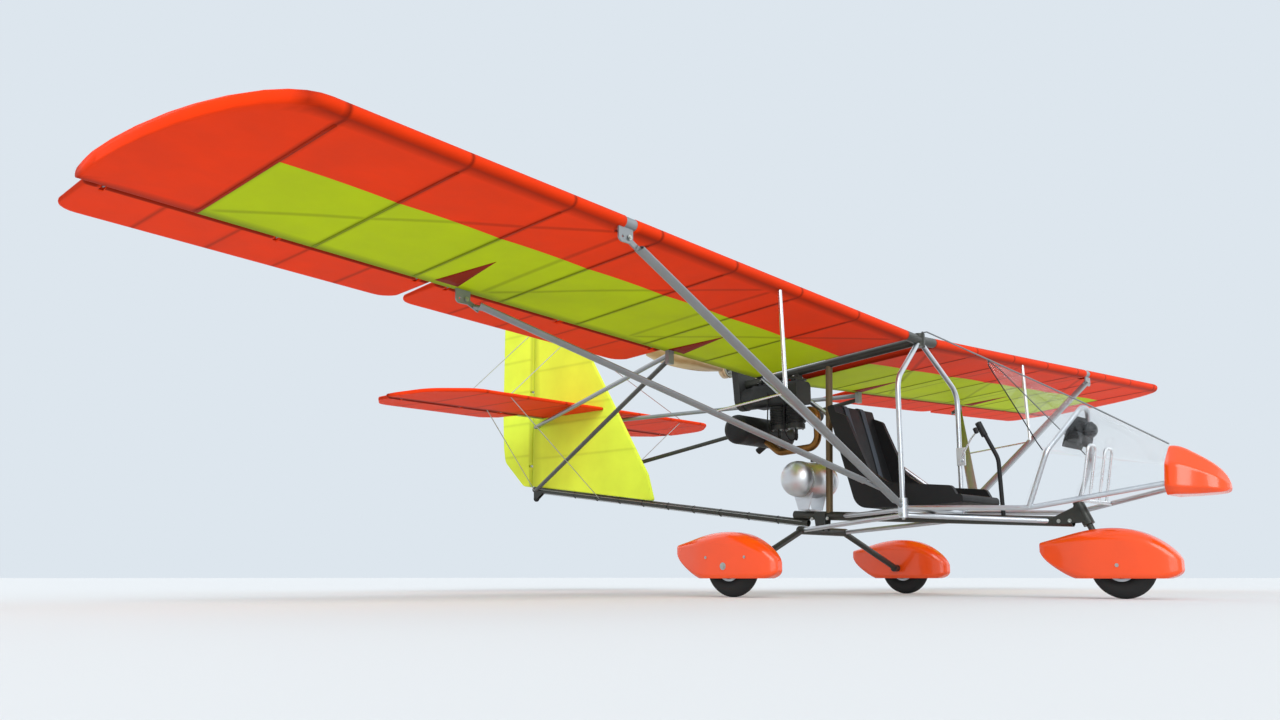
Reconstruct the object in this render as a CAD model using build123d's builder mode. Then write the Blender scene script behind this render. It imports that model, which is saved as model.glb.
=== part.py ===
from build123d import *
import os
from math import cos, radians, sin, sqrt

os.makedirs("parts", exist_ok=True)

# Single-seat strut-braced microlight aircraft of tube and fabric, standing on its wheels.
# Millimetres. X points to port, the nose looks along -Y, Z is up and the ground is Z = 0.
# The origin lies on the ground under the middle of the whole aircraft.

# Running fits
seat_gap = 0.3
hinge_gap = 6.0

# Wing
wing_nose_y = -1038.0
wing_nose_z = 1385.0
dihedral = 3.0
incidence = 5.2
spar_chord = 1042.0
front_spar_radius = 27.0
rear_spar_radius = 22.0
front_tube_radius = 25.0
rear_tube_radius = 20.5
spar_wall = 2.5
rear_spar_end = 4050.0
rib_height = 82.0
crest_share = 0.32
root_rib = 150.0
tip_rib = 3650.0
tip_bow_start = 3711.0
tip_bow_end = 4093.0
tip_section_shares = (0.13, 0.45, 0.71, 0.89, 0.985)
tip_edge_radius = 18.0
tip_edge_height = 26.0

# Ailerons and flaps
surface_nose_radius = 15.0
surface_chord = 305.0
surface_edge_radius = 4.0
surface_corner = 90.0
flap_inner = 973.0
flap_outer = 2500.0
aileron_inner = 2533.0
aileron_outer = 4050.0

# Hinges of every control surface
hinge_pin = 8.0
hinge_eye_radius = 10.0
hinge_tongue = 5.0
hinge_notch_radius = 22.0
hinge_notch = 17.0

# Floor frame
keel_front = (0.0, -1797.0, 366.0)
keel_rear = (0.0, -152.0, 459.0)
keel_diameter = 50.0
keel_wall = 3.0
corner_x = 320.0
corner_y = -1050.0
corner_diameter = 52.0
corner_height = 100.0
corner_low_step = 37.0
corner_inner_step = 8.0
crossbar_diameter = 32.0
rail_diameter = 25.0
rail_wall = 2.0
rail_bend_radius = 260.0
arch_foot = (280.0, -1700.0, 425.0)
rail_front = (104.0, -2270.0, 520.0)
brace_diameter = 25.0

# Cage and roof
root_fitting_diameter = 64.0
cage_diameter = 28.0
cage_bend = (326.0, -1053.0, 1121.0)
cage_bend_radius = 130.0
rear_cage_root_x = 100.0
beam_diameter = 50.0
beam_rear_y = 215.0
bearer_thickness = 12.0
bearer_width = 130.0
bearer_length = 40.0

# Wing struts
strut_depth = 54.0
strut_breadth = 26.0
strut_wall = 2.0
strut_end_share = 0.54
strut_station = 2334.0
rear_strut_station = 2360.0
rear_strut_share = 0.08
jury_x = 1300.0
jury_diameter = 20.0
lug_thickness = 8.0
lug_length = 62.0
lug_width = 46.0
tie_down_bore = 12.0
tie_down_offset = 36.0

# Windshield arch, windshield and nose cone
arch_diameter = 25.0
arch_lean = 21.1
arch_shoulder_half = 270.0
arch_shoulder_rise = 282.0
arch_peak_rise = 565.0
arch_shoulder_radius = 60.0
arch_peak_radius = 80.0
hood_peak = (0.0, -1381.0, 1249.0)
shield_front_y = -2275.0
shield_wall = 3.0
nose_wall = 4.0

# Tail
boom_front = (0.0, -246.0, 409.0)
boom_rear_y = 2150.0
boom_rear_z = 728.0
boom_diameter = 40.0
boom_wall = 2.0
tail_tube_diameter = 28.0
tail_tube_wall = 1.5
tail_tube_station = 950.0
tail_tube_drop = 22.0
tail_lug_size = (42.0, 26.0)
fin_thickness = 24.0
rudder_axis_y = 2183.0
fin_top_z = 2050.0
rudder_thickness = 24.0
rudder_rear_y = 2519.0
stabiliser_z = 1250.0
stabiliser_nose_y = 1434.0
stabiliser_axis_y = 2060.0
stabiliser_half_span = 1385.0
stabiliser_thickness = 24.0
elevator_rear_y = 2376.0
elevator_inner = 257.0
elevator_outer = 1350.0
stay_diameter = 6.0

# Undercarriage
wheel_radius = 155.0
tyre_width = 96.0
rim_radius = 76.0
axle_diameter = 20.0
main_track_half = 866.0
main_axle_y = -366.0
nose_axle_y = -2018.0
gear_beam_x = 210.0
gear_beam_y = -343.0
gear_beam_z = 358.0
gear_beam_diameter = 45.0
gear_leg_diameter = 35.0
steering_rake = 25.0
steering_top = (0.0, -1850.0, 400.0)
tail_wheel_radius = 24.0
tail_wheel_width = 22.0
tail_axle_diameter = 8.0
spat_half_width = 84.0
spat_wall = 4.0
spat_opening_z = 94.0
spat_nose_radius = 18.0
spat_tail_radius = 8.0
hub_half = 42.0
knuckle_x = 748.0

# Seat, engine and propeller
seat_half_width = 205.0
engine_axis_z = 1180.0
engine_front_y = -150.0
engine_length = 330.0
engine_mount_ys = (-195.0, 45.0)
engine_mount_height = 80.0
drive_front_y = 186.0
cylinder_ys = (-175.0, -55.0)
cylinder_radius = 44.0
cylinder_fin_radius = 58.0
cylinder_fins = 10
propeller_hub_y = 345.0
propeller_axis_z = 1397.0
propeller_radius = 750.0


def save(builder, name):
    """Name a finished piece and write it as a STEP file."""
    builder.part.label = name
    export_step(builder.part, f"parts/{name}.step")


def along(start, end, share):
    """The point a share of the way from start to end."""
    start, end = Vector(*start), Vector(*end)
    return start + (end - start) * share


def port_and_starboard(point):
    """A point and its mirror image across the aircraft."""
    x, y, z = point
    return (x, y, z), (-x, y, z)


def tube(start, end, diameter, wall=0.0, mode=Mode.ADD):
    """A straight round tube between two points; without a wall it is a rod."""
    start, end = Vector(*start), Vector(*end)
    with BuildSketch(Plane(origin=start, z_dir=end - start)) as ring:
        Circle(diameter / 2)
        if wall:
            Circle(diameter / 2 - wall, mode=Mode.SUBTRACT)
    extrude(ring.sketch, amount=(end - start).length, mode=mode)


def bent_tube(points, radii, diameter, wall=0.0, mode=Mode.ADD):
    """A round tube along straight runs joined by bends of the given radii."""
    with BuildLine() as path:
        FilletPolyline(*points, radius=radii)
    with BuildSketch(Plane(origin=path.line @ 0, z_dir=path.line % 0)) as ring:
        Circle(diameter / 2)
        if wall:
            Circle(diameter / 2 - wall, mode=Mode.SUBTRACT)
    sweep(sections=ring.sketch, path=path.line, mode=mode)


def oval_sketch(depth, breadth):
    """A streamlined oval of four arcs that run into each other."""
    half, side = depth / 2, breadth / 2
    end_radius = strut_end_share * side
    reach = half - end_radius
    flank_radius = (reach**2 + side**2 - end_radius**2) / (2 * (side - end_radius))
    lean = Vector(reach, flank_radius - side).normalized() * end_radius
    x, y = reach + lean.X, lean.Y
    with BuildSketch(Plane.XY) as section:
        with BuildLine():
            ThreePointArc((x, y), (0, side), (-x, y))
            ThreePointArc((-x, y), (-half, 0), (-x, -y))
            ThreePointArc((-x, -y), (0, -side), (x, -y))
            ThreePointArc((x, -y), (half, 0), (x, y))
        make_face()
    return section.sketch


def streamlined_tube(start, end, depth, breadth, wall=0.0, mode=Mode.ADD):
    """A strut of oval section, its long side fore and aft."""
    start, end = Vector(*start), Vector(*end)
    plane = Plane(origin=start, x_dir=(0, 1, 0), z_dir=end - start)
    with BuildSketch(plane) as section:
        add(oval_sketch(depth, breadth))
        if wall:
            add(oval_sketch(depth - 2 * wall, breadth - 2 * wall), mode=Mode.SUBTRACT)
    extrude(section.sketch, amount=(end - start).length, mode=mode)


def cut_barrel(centre, diameter, height):
    """Clear an upright barrel fitting, with the seat gap all round."""
    with Locations(Vector(*centre)):
        Cylinder(diameter / 2 + seat_gap, height + 2 * seat_gap, mode=Mode.SUBTRACT)


# Wing geometry

wing_frame = Plane(
    origin=(0, wing_nose_y, wing_nose_z),
    x_dir=(0, cos(radians(incidence)), -sin(radians(incidence))),
    z_dir=(cos(radians(dihedral)), 0, sin(radians(dihedral))),
)
hinge_chord = spar_chord + rear_spar_radius + hinge_gap + surface_nose_radius


def wing_point(station, aft, up):
    """A point of the port wing from its span station, chord place and height."""
    return wing_frame.from_local_coords((aft, up, station))


def wing_section(station, front, nose_radius, crest_height):
    """A rib outline between the two spars: four arcs and a flat underside."""
    crest_x = front + crest_share * (spar_chord - front)
    nose_x = front + nose_radius
    reach = crest_x - nose_x
    radius = (reach**2 + crest_height**2 - nose_radius**2) / (2 * (crest_height - nose_radius))
    to_nose = Vector(nose_x, 0) - Vector(crest_x, crest_height - radius)
    blend = Vector(nose_x, 0) + to_nose.normalized() * nose_radius
    with BuildSketch(wing_frame.offset(station)) as rib:
        with BuildLine():
            TangentArc((crest_x, crest_height), (spar_chord, rear_spar_radius), tangent=(1, 0))
            TangentArc((crest_x, crest_height), (blend.X, blend.Y), tangent=(-1, 0))
            ThreePointArc((blend.X, blend.Y), (front, 0), (nose_x, -nose_radius))
            Line((nose_x, -nose_radius), (spar_chord, -rear_spar_radius))
            ThreePointArc(
                (spar_chord, -rear_spar_radius),
                (spar_chord + rear_spar_radius, 0),
                (spar_chord, rear_spar_radius),
            )
        make_face()
    return rib.sketch


def surface_section(plane, axis_x, nose_radius, chord, edge_radius):
    """A control surface's outline: round nose on the hinge axis, thin rear edge."""
    rear = axis_x + chord - edge_radius
    with BuildSketch(plane) as outline:
        with BuildLine():
            ThreePointArc((axis_x, nose_radius), (axis_x - nose_radius, 0), (axis_x, -nose_radius))
            Line((axis_x, -nose_radius), (rear, -edge_radius))
            ThreePointArc((rear, -edge_radius), (rear + edge_radius, 0), (rear, edge_radius))
            Line((rear, edge_radius), (axis_x, nose_radius))
        make_face()
    return outline.sketch


def hinge_eye(plane, axis_x, root_x):
    """A fixed hinge tongue from the spar to an eye round the hinge pin."""
    middle = (axis_x + root_x) / 2
    with BuildSketch(plane) as tongue:
        with Locations((middle, 0)):
            Rectangle(axis_x - root_x, 2 * hinge_eye_radius)
        with Locations((axis_x, 0)):
            Circle(hinge_eye_radius)
            Circle(hinge_pin / 2 + seat_gap, mode=Mode.SUBTRACT)
    extrude(tongue.sketch, amount=hinge_tongue / 2, both=True)


def hinge_notch_and_pin(plane, axis_x):
    """A notch in a control surface's nose with the hinge pin across it."""
    with BuildSketch(plane) as notch:
        with Locations((axis_x, 0)):
            Circle(hinge_notch_radius)
    extrude(notch.sketch, amount=hinge_notch / 2, both=True, mode=Mode.SUBTRACT)
    with BuildSketch(plane) as pin:
        with Locations((axis_x, 0)):
            Circle(hinge_pin / 2)
    extrude(pin.sketch, amount=hinge_notch / 2 + 2, both=True)


def hinge_stations(inner, outer):
    """Three hinge places along a control surface."""
    margin = 70.0
    return (inner + margin, (inner + outer) / 2, outer - margin)


tail_tube_front = wing_point(tail_tube_station, spar_chord, -rear_spar_radius - tail_tube_drop)
tail_lug_low = tail_tube_front.Z - 1.5 * tail_tube_diameter - 8
tail_lug_high = wing_point(tail_tube_station, spar_chord, 0).Z


def tail_lug(grow=0.0, mode=Mode.ADD):
    """The upright fitting under the rear spar that the tail tubes butt against."""
    middle = (tail_lug_low + tail_lug_high) / 2
    with Locations((tail_tube_front.X, tail_tube_front.Y - tail_lug_size[1] / 2, middle)):
        Box(
            tail_lug_size[0] + 2 * grow, tail_lug_size[1] + 2 * grow,
            tail_lug_high - tail_lug_low + 2 * grow, mode=mode,
        )


strut_lug_aft = front_spar_radius
strut_lug_centre = wing_point(strut_station, strut_lug_aft, -lug_length)
rear_lug_centre = wing_point(rear_strut_station, spar_chord - 8, -lug_length)


def lug_plate(lug, grow=0.0, mode=Mode.ADD):
    """A strut lug hanging from a spar, with the strut's bolt hole and the tie-down hole."""
    half = lug_thickness / 2 + grow
    with BuildSketch(Plane(origin=lug, x_dir=(1, 0, 0), z_dir=(0, -1, 0))) as plate:
        with Locations((tie_down_offset / 2, lug_length / 2)):
            Rectangle(lug_width + tie_down_offset + 2 * grow, lug_length)
        with Locations((0, 0), (tie_down_offset, 0)):
            Circle(lug_width / 2)
        with Locations((tie_down_offset / 2, 0)):
            Rectangle(tie_down_offset, lug_width)
        if not grow:
            with Locations((0, 0), (tie_down_offset, 0)):
                Circle(tie_down_bore / 2, mode=Mode.SUBTRACT)
    extrude(plate.sketch, amount=half, both=True, mode=mode)


def wing_tube(aft, radius, outer, mode=Mode.ADD, wall=0.0):
    """A spar tube of the port wing from the root rib to a span station."""
    tube(wing_point(root_rib, aft, 0), wing_point(outer, aft, 0), 2 * radius, wall, mode)


# Wings: cloth panel with its rounded tip, drawn round the two spars
for side in ("left", "right"):
    with BuildPart() as wing:
        root = wing_section(root_rib, 0, front_spar_radius, rib_height)
        extrude(root, amount=tip_rib - root_rib)
        ribs = [wing_section(tip_rib, 0, front_spar_radius, rib_height)]
        for share in tip_section_shares:
            fall = sqrt(1 - share**2)
            ribs.append(
                wing_section(
                    tip_bow_start + share * (tip_bow_end - tip_bow_start),
                    spar_chord * (1 - fall),
                    tip_edge_radius + (front_spar_radius - tip_edge_radius) * fall,
                    tip_edge_height + (rib_height - tip_edge_height) * fall,
                )
            )
        loft(ribs)
        with BuildSketch(wing_frame.offset(root_rib)) as rear_strip:
            with Locations((spar_chord + rear_spar_radius / 2, 0)):
                Rectangle(rear_spar_radius, 4 * rear_spar_radius)
        extrude(rear_strip.sketch, amount=tip_bow_end, mode=Mode.SUBTRACT)
        wing_tube(front_spar_radius, front_tube_radius + seat_gap, tip_rib, Mode.SUBTRACT)
        wing_tube(spar_chord, rear_tube_radius + seat_gap, tip_bow_end, Mode.SUBTRACT)
        for lug in (strut_lug_centre, rear_lug_centre):
            lug_plate(lug, seat_gap, Mode.SUBTRACT)
        tail_lug(seat_gap, Mode.SUBTRACT)
        if side == "right":
            mirror(about=Plane.YZ, mode=Mode.REPLACE)
    save(wing, f"wing_{side}")

# Wing spars: two tubes with the hinge tongues, the strut lugs and the tail tube fitting
for side in ("left", "right"):
    with BuildPart() as wing_spars:
        wing_tube(front_spar_radius, front_tube_radius, tip_rib - seat_gap, wall=spar_wall)
        wing_tube(spar_chord, rear_tube_radius, rear_spar_end, wall=spar_wall)
        for inner, outer in ((flap_inner, flap_outer), (aileron_inner, aileron_outer)):
            for station in hinge_stations(inner, outer):
                hinge_eye(wing_frame.offset(station), hinge_chord, spar_chord)
        for lug in (strut_lug_centre, rear_lug_centre):
            lug_plate(lug)
        tail_lug()
        if side == "right":
            mirror(about=Plane.YZ, mode=Mode.REPLACE)
    save(wing_spars, f"wing_spars_{side}")

# Ailerons and flaps
for name, inner, outer in (("flap", flap_inner, flap_outer), ("aileron", aileron_inner, aileron_outer)):
    for side in ("left", "right"):
        with BuildPart() as surface:
            profile = surface_section(
                wing_frame.offset(inner), hinge_chord, surface_nose_radius, surface_chord,
                surface_edge_radius,
            )
            extrude(profile, amount=outer - inner)
            plan = Plane(
                origin=wing_point((inner + outer) / 2, 0, 0),
                x_dir=wing_frame.z_dir,
                z_dir=wing_frame.y_dir,
            )
            rear = hinge_chord + surface_chord
            with BuildSketch(plan) as outline:
                half = (outer - inner) / 2
                with BuildLine():
                    FilletPolyline(
                        (-half, hinge_chord - 40), (half, hinge_chord - 40), (half, rear), (-half, rear),
                        radius=(1, 1, surface_corner, surface_corner), close=True,
                    )
                make_face()
            extrude(outline.sketch, amount=60, both=True, mode=Mode.INTERSECT)
            for station in hinge_stations(inner, outer):
                hinge_notch_and_pin(wing_frame.offset(station), hinge_chord)
            if side == "right":
                mirror(about=Plane.YZ, mode=Mode.REPLACE)
        save(surface, f"{name}_{side}")

# Floor frame: keel, corner fittings with their crossbar, side rails and braces
keel_rise = (keel_rear[2] - keel_front[2]) / (keel_rear[1] - keel_front[1])


def keel_z(y):
    """Height of the keel tube's centre line at a fore-and-aft place."""
    return keel_front[2] + keel_rise * (y - keel_front[1])


corner_z = keel_z(corner_y) + keel_diameter / 2 + crossbar_diameter / 2 + 2 * seat_gap
corner = (corner_x, corner_y, corner_z)
crossbar_y = -1905.0
crossbar_share = (crossbar_y - arch_foot[1]) / (rail_front[1] - arch_foot[1])
pedal_bar_end = along(arch_foot, rail_front, crossbar_share)

with BuildPart() as keel_tube:
    tube(keel_front, keel_rear, keel_diameter, keel_wall)
save(keel_tube, "keel_tube")

with BuildPart() as crossbar:
    for x, y, z in port_and_starboard(corner):
        with Locations((x, y, z)):
            Cylinder(corner_diameter / 2, corner_height)
    tube((-corner_x, corner_y, corner_z), corner, crossbar_diameter)
save(crossbar, "crossbar")

with BuildPart() as side_rails:
    bent_tube((corner, arch_foot, rail_front), rail_bend_radius, rail_diameter, rail_wall)
    cut_barrel(corner, corner_diameter, corner_height)
    mirror(about=Plane.YZ)
save(side_rails, "side_rails")

corner_low = (corner_x, corner_y, corner_z - corner_low_step)
corner_aft = (corner_x, corner_y, corner_z - corner_inner_step)
corner_high = (corner_x, corner_y, corner_z + corner_inner_step)
brace_front_y = keel_front[1] + 90
brace_rear_y = -480.0
with BuildPart() as floor_braces:
    tube(corner_low, (0, brace_front_y, keel_z(brace_front_y)), brace_diameter)
    tube(corner_aft, (0, brace_rear_y, keel_z(brace_rear_y)), brace_diameter)
    tube(corner_low, (gear_beam_x, gear_beam_y, gear_beam_z), brace_diameter)
    cut_barrel(corner, corner_diameter, corner_height)
    tube(
        (-corner_x, corner_y, corner_z), corner, crossbar_diameter + 2 * seat_gap, mode=Mode.SUBTRACT
    )
    tube(keel_front, keel_rear, keel_diameter + 2 * seat_gap, mode=Mode.SUBTRACT)
    tube(
        (-gear_beam_x - 40, gear_beam_y, gear_beam_z), (gear_beam_x + 40, gear_beam_y, gear_beam_z),
        gear_beam_diameter + 2 * seat_gap, mode=Mode.SUBTRACT,
    )
    mirror(about=Plane.YZ)
save(floor_braces, "floor_braces")

# Roof frame over the seat: a fore-and-aft beam and the two spar carry-throughs
front_spar_y, front_spar_z = wing_point(0, front_spar_radius, 0).Y, wing_point(0, front_spar_radius, 0).Z
rear_spar_y, rear_spar_z = wing_point(0, spar_chord, 0).Y, wing_point(0, spar_chord, 0).Z
beam_slope = (rear_spar_z - front_spar_z) / (rear_spar_y - front_spar_y)


def beam_z(y):
    """Height of the roof beam's centre line at a fore-and-aft place."""
    return front_spar_z + beam_slope * (y - front_spar_y)


with BuildPart() as roof_frame:
    tube((0, front_spar_y, front_spar_z), (0, beam_rear_y, beam_z(beam_rear_y)), beam_diameter)
    for aft, radius in ((front_spar_radius, front_spar_radius), (spar_chord, rear_spar_radius)):
        for station in (root_rib - seat_gap,):
            tube(wing_point(0, aft, 0), wing_point(station, aft, 0), 2 * radius)
    mirror(about=Plane.YZ)
    with Locations((0, front_spar_y, front_spar_z)):
        Cylinder(root_fitting_diameter / 2, 74)
    for y in engine_mount_ys:
        low = engine_axis_z + engine_mount_height + seat_gap
        with Locations((0, y, low + bearer_thickness / 2)):
            Box(bearer_width, bearer_length, bearer_thickness)
        with Locations((0, y, (low + beam_z(y)) / 2)):
            Box(beam_diameter * 0.8, bearer_length, beam_z(y) - low)
save(roof_frame, "roof_frame")

# Cage: two bent hoops in front of the shoulders and two straight tubes behind them
cage_top = (0.0, front_spar_y, front_spar_z)
with BuildPart() as front_cage:
    bent_tube((corner, cage_bend, cage_top), cage_bend_radius, cage_diameter)
    cut_barrel(corner, corner_diameter, corner_height)
    cut_barrel(cage_top, root_fitting_diameter, 74)
    tube(
        wing_point(0, front_spar_radius, 0), wing_point(root_rib, front_spar_radius, 0),
        2 * front_spar_radius + 2 * seat_gap, mode=Mode.SUBTRACT,
    )
    mirror(about=Plane.YZ)
save(front_cage, "front_cage")

with BuildPart() as rear_cage:
    rear_cage_top = (rear_cage_root_x, rear_spar_y, rear_spar_z)
    tube(corner_high, rear_cage_top, cage_diameter, 2)
    cut_barrel(corner, corner_diameter, corner_height)
    tube(
        wing_point(0, spar_chord, 0), wing_point(root_rib, spar_chord, 0),
        2 * rear_spar_radius + 2 * seat_gap, mode=Mode.SUBTRACT,
    )
    mirror(about=Plane.YZ)
save(rear_cage, "rear_cage")

# Upright mast behind the seat, from the keel to the roof beam
mast_y = -390.0
with BuildPart() as mast:
    tube((0, mast_y, keel_z(mast_y)), (0, mast_y - 30, beam_z(mast_y - 30)), 40, 2)
    tube(keel_front, keel_rear, keel_diameter + 2 * seat_gap, mode=Mode.SUBTRACT)
    tube(
        (0, front_spar_y, front_spar_z), (0, beam_rear_y, beam_z(beam_rear_y)),
        beam_diameter + 2 * seat_gap, mode=Mode.SUBTRACT,
    )
save(mast, "mast")

# Wing struts: front and rear pair on each side, jury struts and their links
front_strut_low = Vector(*corner)
front_strut_high = Vector(*strut_lug_centre)
rear_strut_low = along(front_strut_low, front_strut_high, rear_strut_share)
rear_strut_high = Vector(*rear_lug_centre)
strut_direction = (front_strut_high - front_strut_low).normalized()


def end_tongue(eye, direction):
    """A flat strut end beside a wing lug, with a bolt through the eye."""
    offset_y = (lug_thickness + lug_thickness) / 2 + seat_gap
    plane = Plane(
        origin=eye + Vector(0, offset_y, 0), x_dir=(direction.X, 0, direction.Z), z_dir=(0, 1, 0)
    )
    with BuildSketch(plane) as blade:
        with Locations((-45, 0)):
            Rectangle(90, strut_breadth - 2)
        Circle(strut_breadth / 2 + 2)
    extrude(blade.sketch, amount=lug_thickness / 2, both=True)
    tube(plane.from_local_coords((-60, 0, 0)), eye - direction * 105, strut_breadth - strut_wall)
    tube(
        eye + Vector(0, offset_y, 0), eye - Vector(0, offset_y, 0),
        tie_down_bore - 2 * seat_gap,
    )


with BuildPart() as front_struts:
    streamlined_tube(
        front_strut_low + strut_direction * 70, front_strut_high - strut_direction * 70,
        strut_depth, strut_breadth, strut_wall,
    )
    tube(front_strut_low, front_strut_low + strut_direction * 100, strut_breadth - strut_wall)
    end_tongue(front_strut_high, strut_direction)
    cut_barrel(corner, corner_diameter, corner_height)
    mirror(about=Plane.YZ)
save(front_struts, "front_struts")

with BuildPart() as rear_struts:
    direction = (rear_strut_high - rear_strut_low).normalized()
    tube(rear_strut_low, rear_strut_low + direction * 150, strut_breadth - strut_wall)
    streamlined_tube(
        front_strut_low, front_strut_high, strut_depth + 2 * seat_gap, strut_breadth + 2 * seat_gap,
        mode=Mode.SUBTRACT,
    )
    streamlined_tube(
        rear_strut_low + direction * 125, rear_strut_high - direction * 70,
        strut_depth, strut_breadth, strut_wall,
    )
    end_tongue(rear_strut_high, direction)
    mirror(about=Plane.YZ)
save(rear_struts, "rear_struts")

jury_share = (jury_x - corner_x) / (front_strut_high.X - corner_x)
jury_low = along(front_strut_low, front_strut_high, jury_share)
rear_share = (jury_x - rear_strut_low.X) / (rear_strut_high.X - rear_strut_low.X)
link_rear = along(rear_strut_low, rear_strut_high, rear_share)
jury_top_gap = 1.8
with BuildPart() as jury_struts:
    jury_station = jury_x / cos(radians(dihedral))
    tube(
        jury_low, wing_point(jury_station, front_spar_radius, -front_spar_radius - jury_top_gap),
        jury_diameter,
    )
    tube(jury_low, link_rear, jury_diameter / 2)
    for low, high in ((front_strut_low, front_strut_high), (rear_strut_low, rear_strut_high)):
        streamlined_tube(
            low, high, strut_depth + 2 * seat_gap, strut_breadth + 2 * seat_gap, mode=Mode.SUBTRACT
        )
    mirror(about=Plane.YZ)
save(jury_struts, "jury_struts")

# Tail: lower boom, four upper tubes, fin, stabiliser and their stays
boom_front_point = Vector(*boom_front)
boom_rear_point = Vector(0, boom_rear_y, boom_rear_z)
post_z = 1180.0
post_y = 2120.0


def boom_z(y):
    """Height of the lower boom's centre line at a fore-and-aft place."""
    return along(boom_front, boom_rear_point, (y - boom_front[1]) / (boom_rear_y - boom_front[1])).Z


with BuildPart() as tail_boom:
    tube(boom_front_point, boom_rear_point, boom_diameter, boom_wall)
    tube(keel_front, keel_rear, keel_diameter + 2 * seat_gap, mode=Mode.SUBTRACT)
save(tail_boom, "tail_boom")

post_side = fin_thickness / 2 + seat_gap + tail_tube_diameter / 2
with BuildPart() as upper_tail_tubes:
    upper_end = Vector(post_side, post_y, post_z)
    tube(along(tail_tube_front, upper_end, -0.004), upper_end, tail_tube_diameter, tail_tube_wall)
    tail_lug(seat_gap, Mode.SUBTRACT)
    mirror(about=Plane.YZ)
save(upper_tail_tubes, "upper_tail_tubes")

with BuildPart() as lower_tail_tubes:
    lower_front = tail_tube_front - Vector(0, 0, tail_tube_diameter + 2 * seat_gap)
    lower_end = Vector((boom_diameter + tail_tube_diameter) / 2 + seat_gap, 2090, boom_z(2090))
    tube(along(lower_front, lower_end, -0.004), lower_end, tail_tube_diameter, tail_tube_wall)
    tail_lug(seat_gap, Mode.SUBTRACT)
    mirror(about=Plane.YZ)
save(lower_tail_tubes, "lower_tail_tubes")

boom_slope = (boom_rear_z - boom_front[2]) / (boom_rear_y - boom_front[1])
boom_seat = (boom_diameter / 2 + seat_gap) * sqrt(1 + boom_slope**2)
rudder_gap = hinge_gap + rudder_thickness / 2
fin_rear_y = rudder_axis_y - rudder_gap
fin_outline = (
    (965, boom_z(965) + boom_seat), (1020, 770), (1438, 1427), (1703, 1845), (1835, 1985), (1975, fin_top_z),
    (fin_rear_y, fin_top_z), (fin_rear_y, boom_z(fin_rear_y) + boom_seat),
)
fin_corner_radii = (12, 60, 400, 400, 90, 90, 6, 6)
with BuildPart() as fin:
    with BuildSketch(Plane.YZ) as outline:
        with BuildLine():
            FilletPolyline(*fin_outline, radius=fin_corner_radii, close=True)
        make_face()
    extrude(outline.sketch, amount=fin_thickness / 2, both=True)
    with BuildSketch(Plane.YZ) as crossing:
        with Locations((stabiliser_axis_y, stabiliser_z)):
            Circle(surface_nose_radius + hinge_gap)
    extrude(crossing.sketch, amount=fin_thickness, both=True, mode=Mode.SUBTRACT)
    for z in (900, 1450, 1950):
        hinge_plane = Plane(origin=(0, 0, z), x_dir=(0, 1, 0), z_dir=(0, 0, 1))
        hinge_eye(hinge_plane, rudder_axis_y, fin_rear_y - 4)
save(fin, "fin")

rudder_outline = (
    (rudder_axis_y - 30, 745), (2264, 757), (2479, 949), (2500, 1049), (2517, 1305),
    (rudder_rear_y, 1981), (2475, fin_top_z), (rudder_axis_y - 30, fin_top_z),
)
rudder_corner_radii = (2, 60, 90, 200, 400, 60, 20, 2)
with BuildPart() as rudder:
    plane = Plane(origin=(0, 0, 700), x_dir=(0, 1, 0), z_dir=(0, 0, 1))
    chord = rudder_rear_y - rudder_axis_y
    extrude(
        surface_section(plane, rudder_axis_y, rudder_thickness / 2, chord, surface_edge_radius),
        amount=1400,
    )
    with BuildSketch(Plane.YZ) as outline:
        with BuildLine():
            FilletPolyline(*rudder_outline, radius=rudder_corner_radii, close=True)
        make_face()
    extrude(outline.sketch, amount=rudder_thickness, both=True, mode=Mode.INTERSECT)
    for z in (900, 1450, 1950):
        hinge_plane = Plane(origin=(0, 0, z), x_dir=(0, 1, 0), z_dir=(0, 0, 1))
        hinge_notch_and_pin(hinge_plane, rudder_axis_y)
save(rudder, "rudder")

level = Plane(origin=(0, 0, stabiliser_z), x_dir=(1, 0, 0), z_dir=(0, 0, 1))
stabiliser_rear_y = stabiliser_axis_y - surface_nose_radius - hinge_gap
stabiliser_root_x = fin_thickness / 2 + seat_gap
elevator_stations = (420.0, 780.0, 1260.0)
with BuildPart() as stabiliser:
    with BuildSketch(level) as outline:
        with BuildLine():
            FilletPolyline(
                (stabiliser_root_x, stabiliser_nose_y), (1120, stabiliser_nose_y),
                (1330, 1650), (stabiliser_half_span, stabiliser_rear_y),
                (stabiliser_root_x, stabiliser_rear_y),
                radius=(2, 170, 300, 4, 2), close=True,
            )
        make_face()
    extrude(outline.sketch, amount=stabiliser_thickness / 2, both=True)
    for x in elevator_stations:
        hinge_plane = Plane(origin=(x, 0, stabiliser_z), x_dir=(0, 1, 0), z_dir=(1, 0, 0))
        hinge_eye(hinge_plane, stabiliser_axis_y, stabiliser_rear_y - 4)
    mirror(about=Plane.YZ)
save(stabiliser, "stabiliser")

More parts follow.
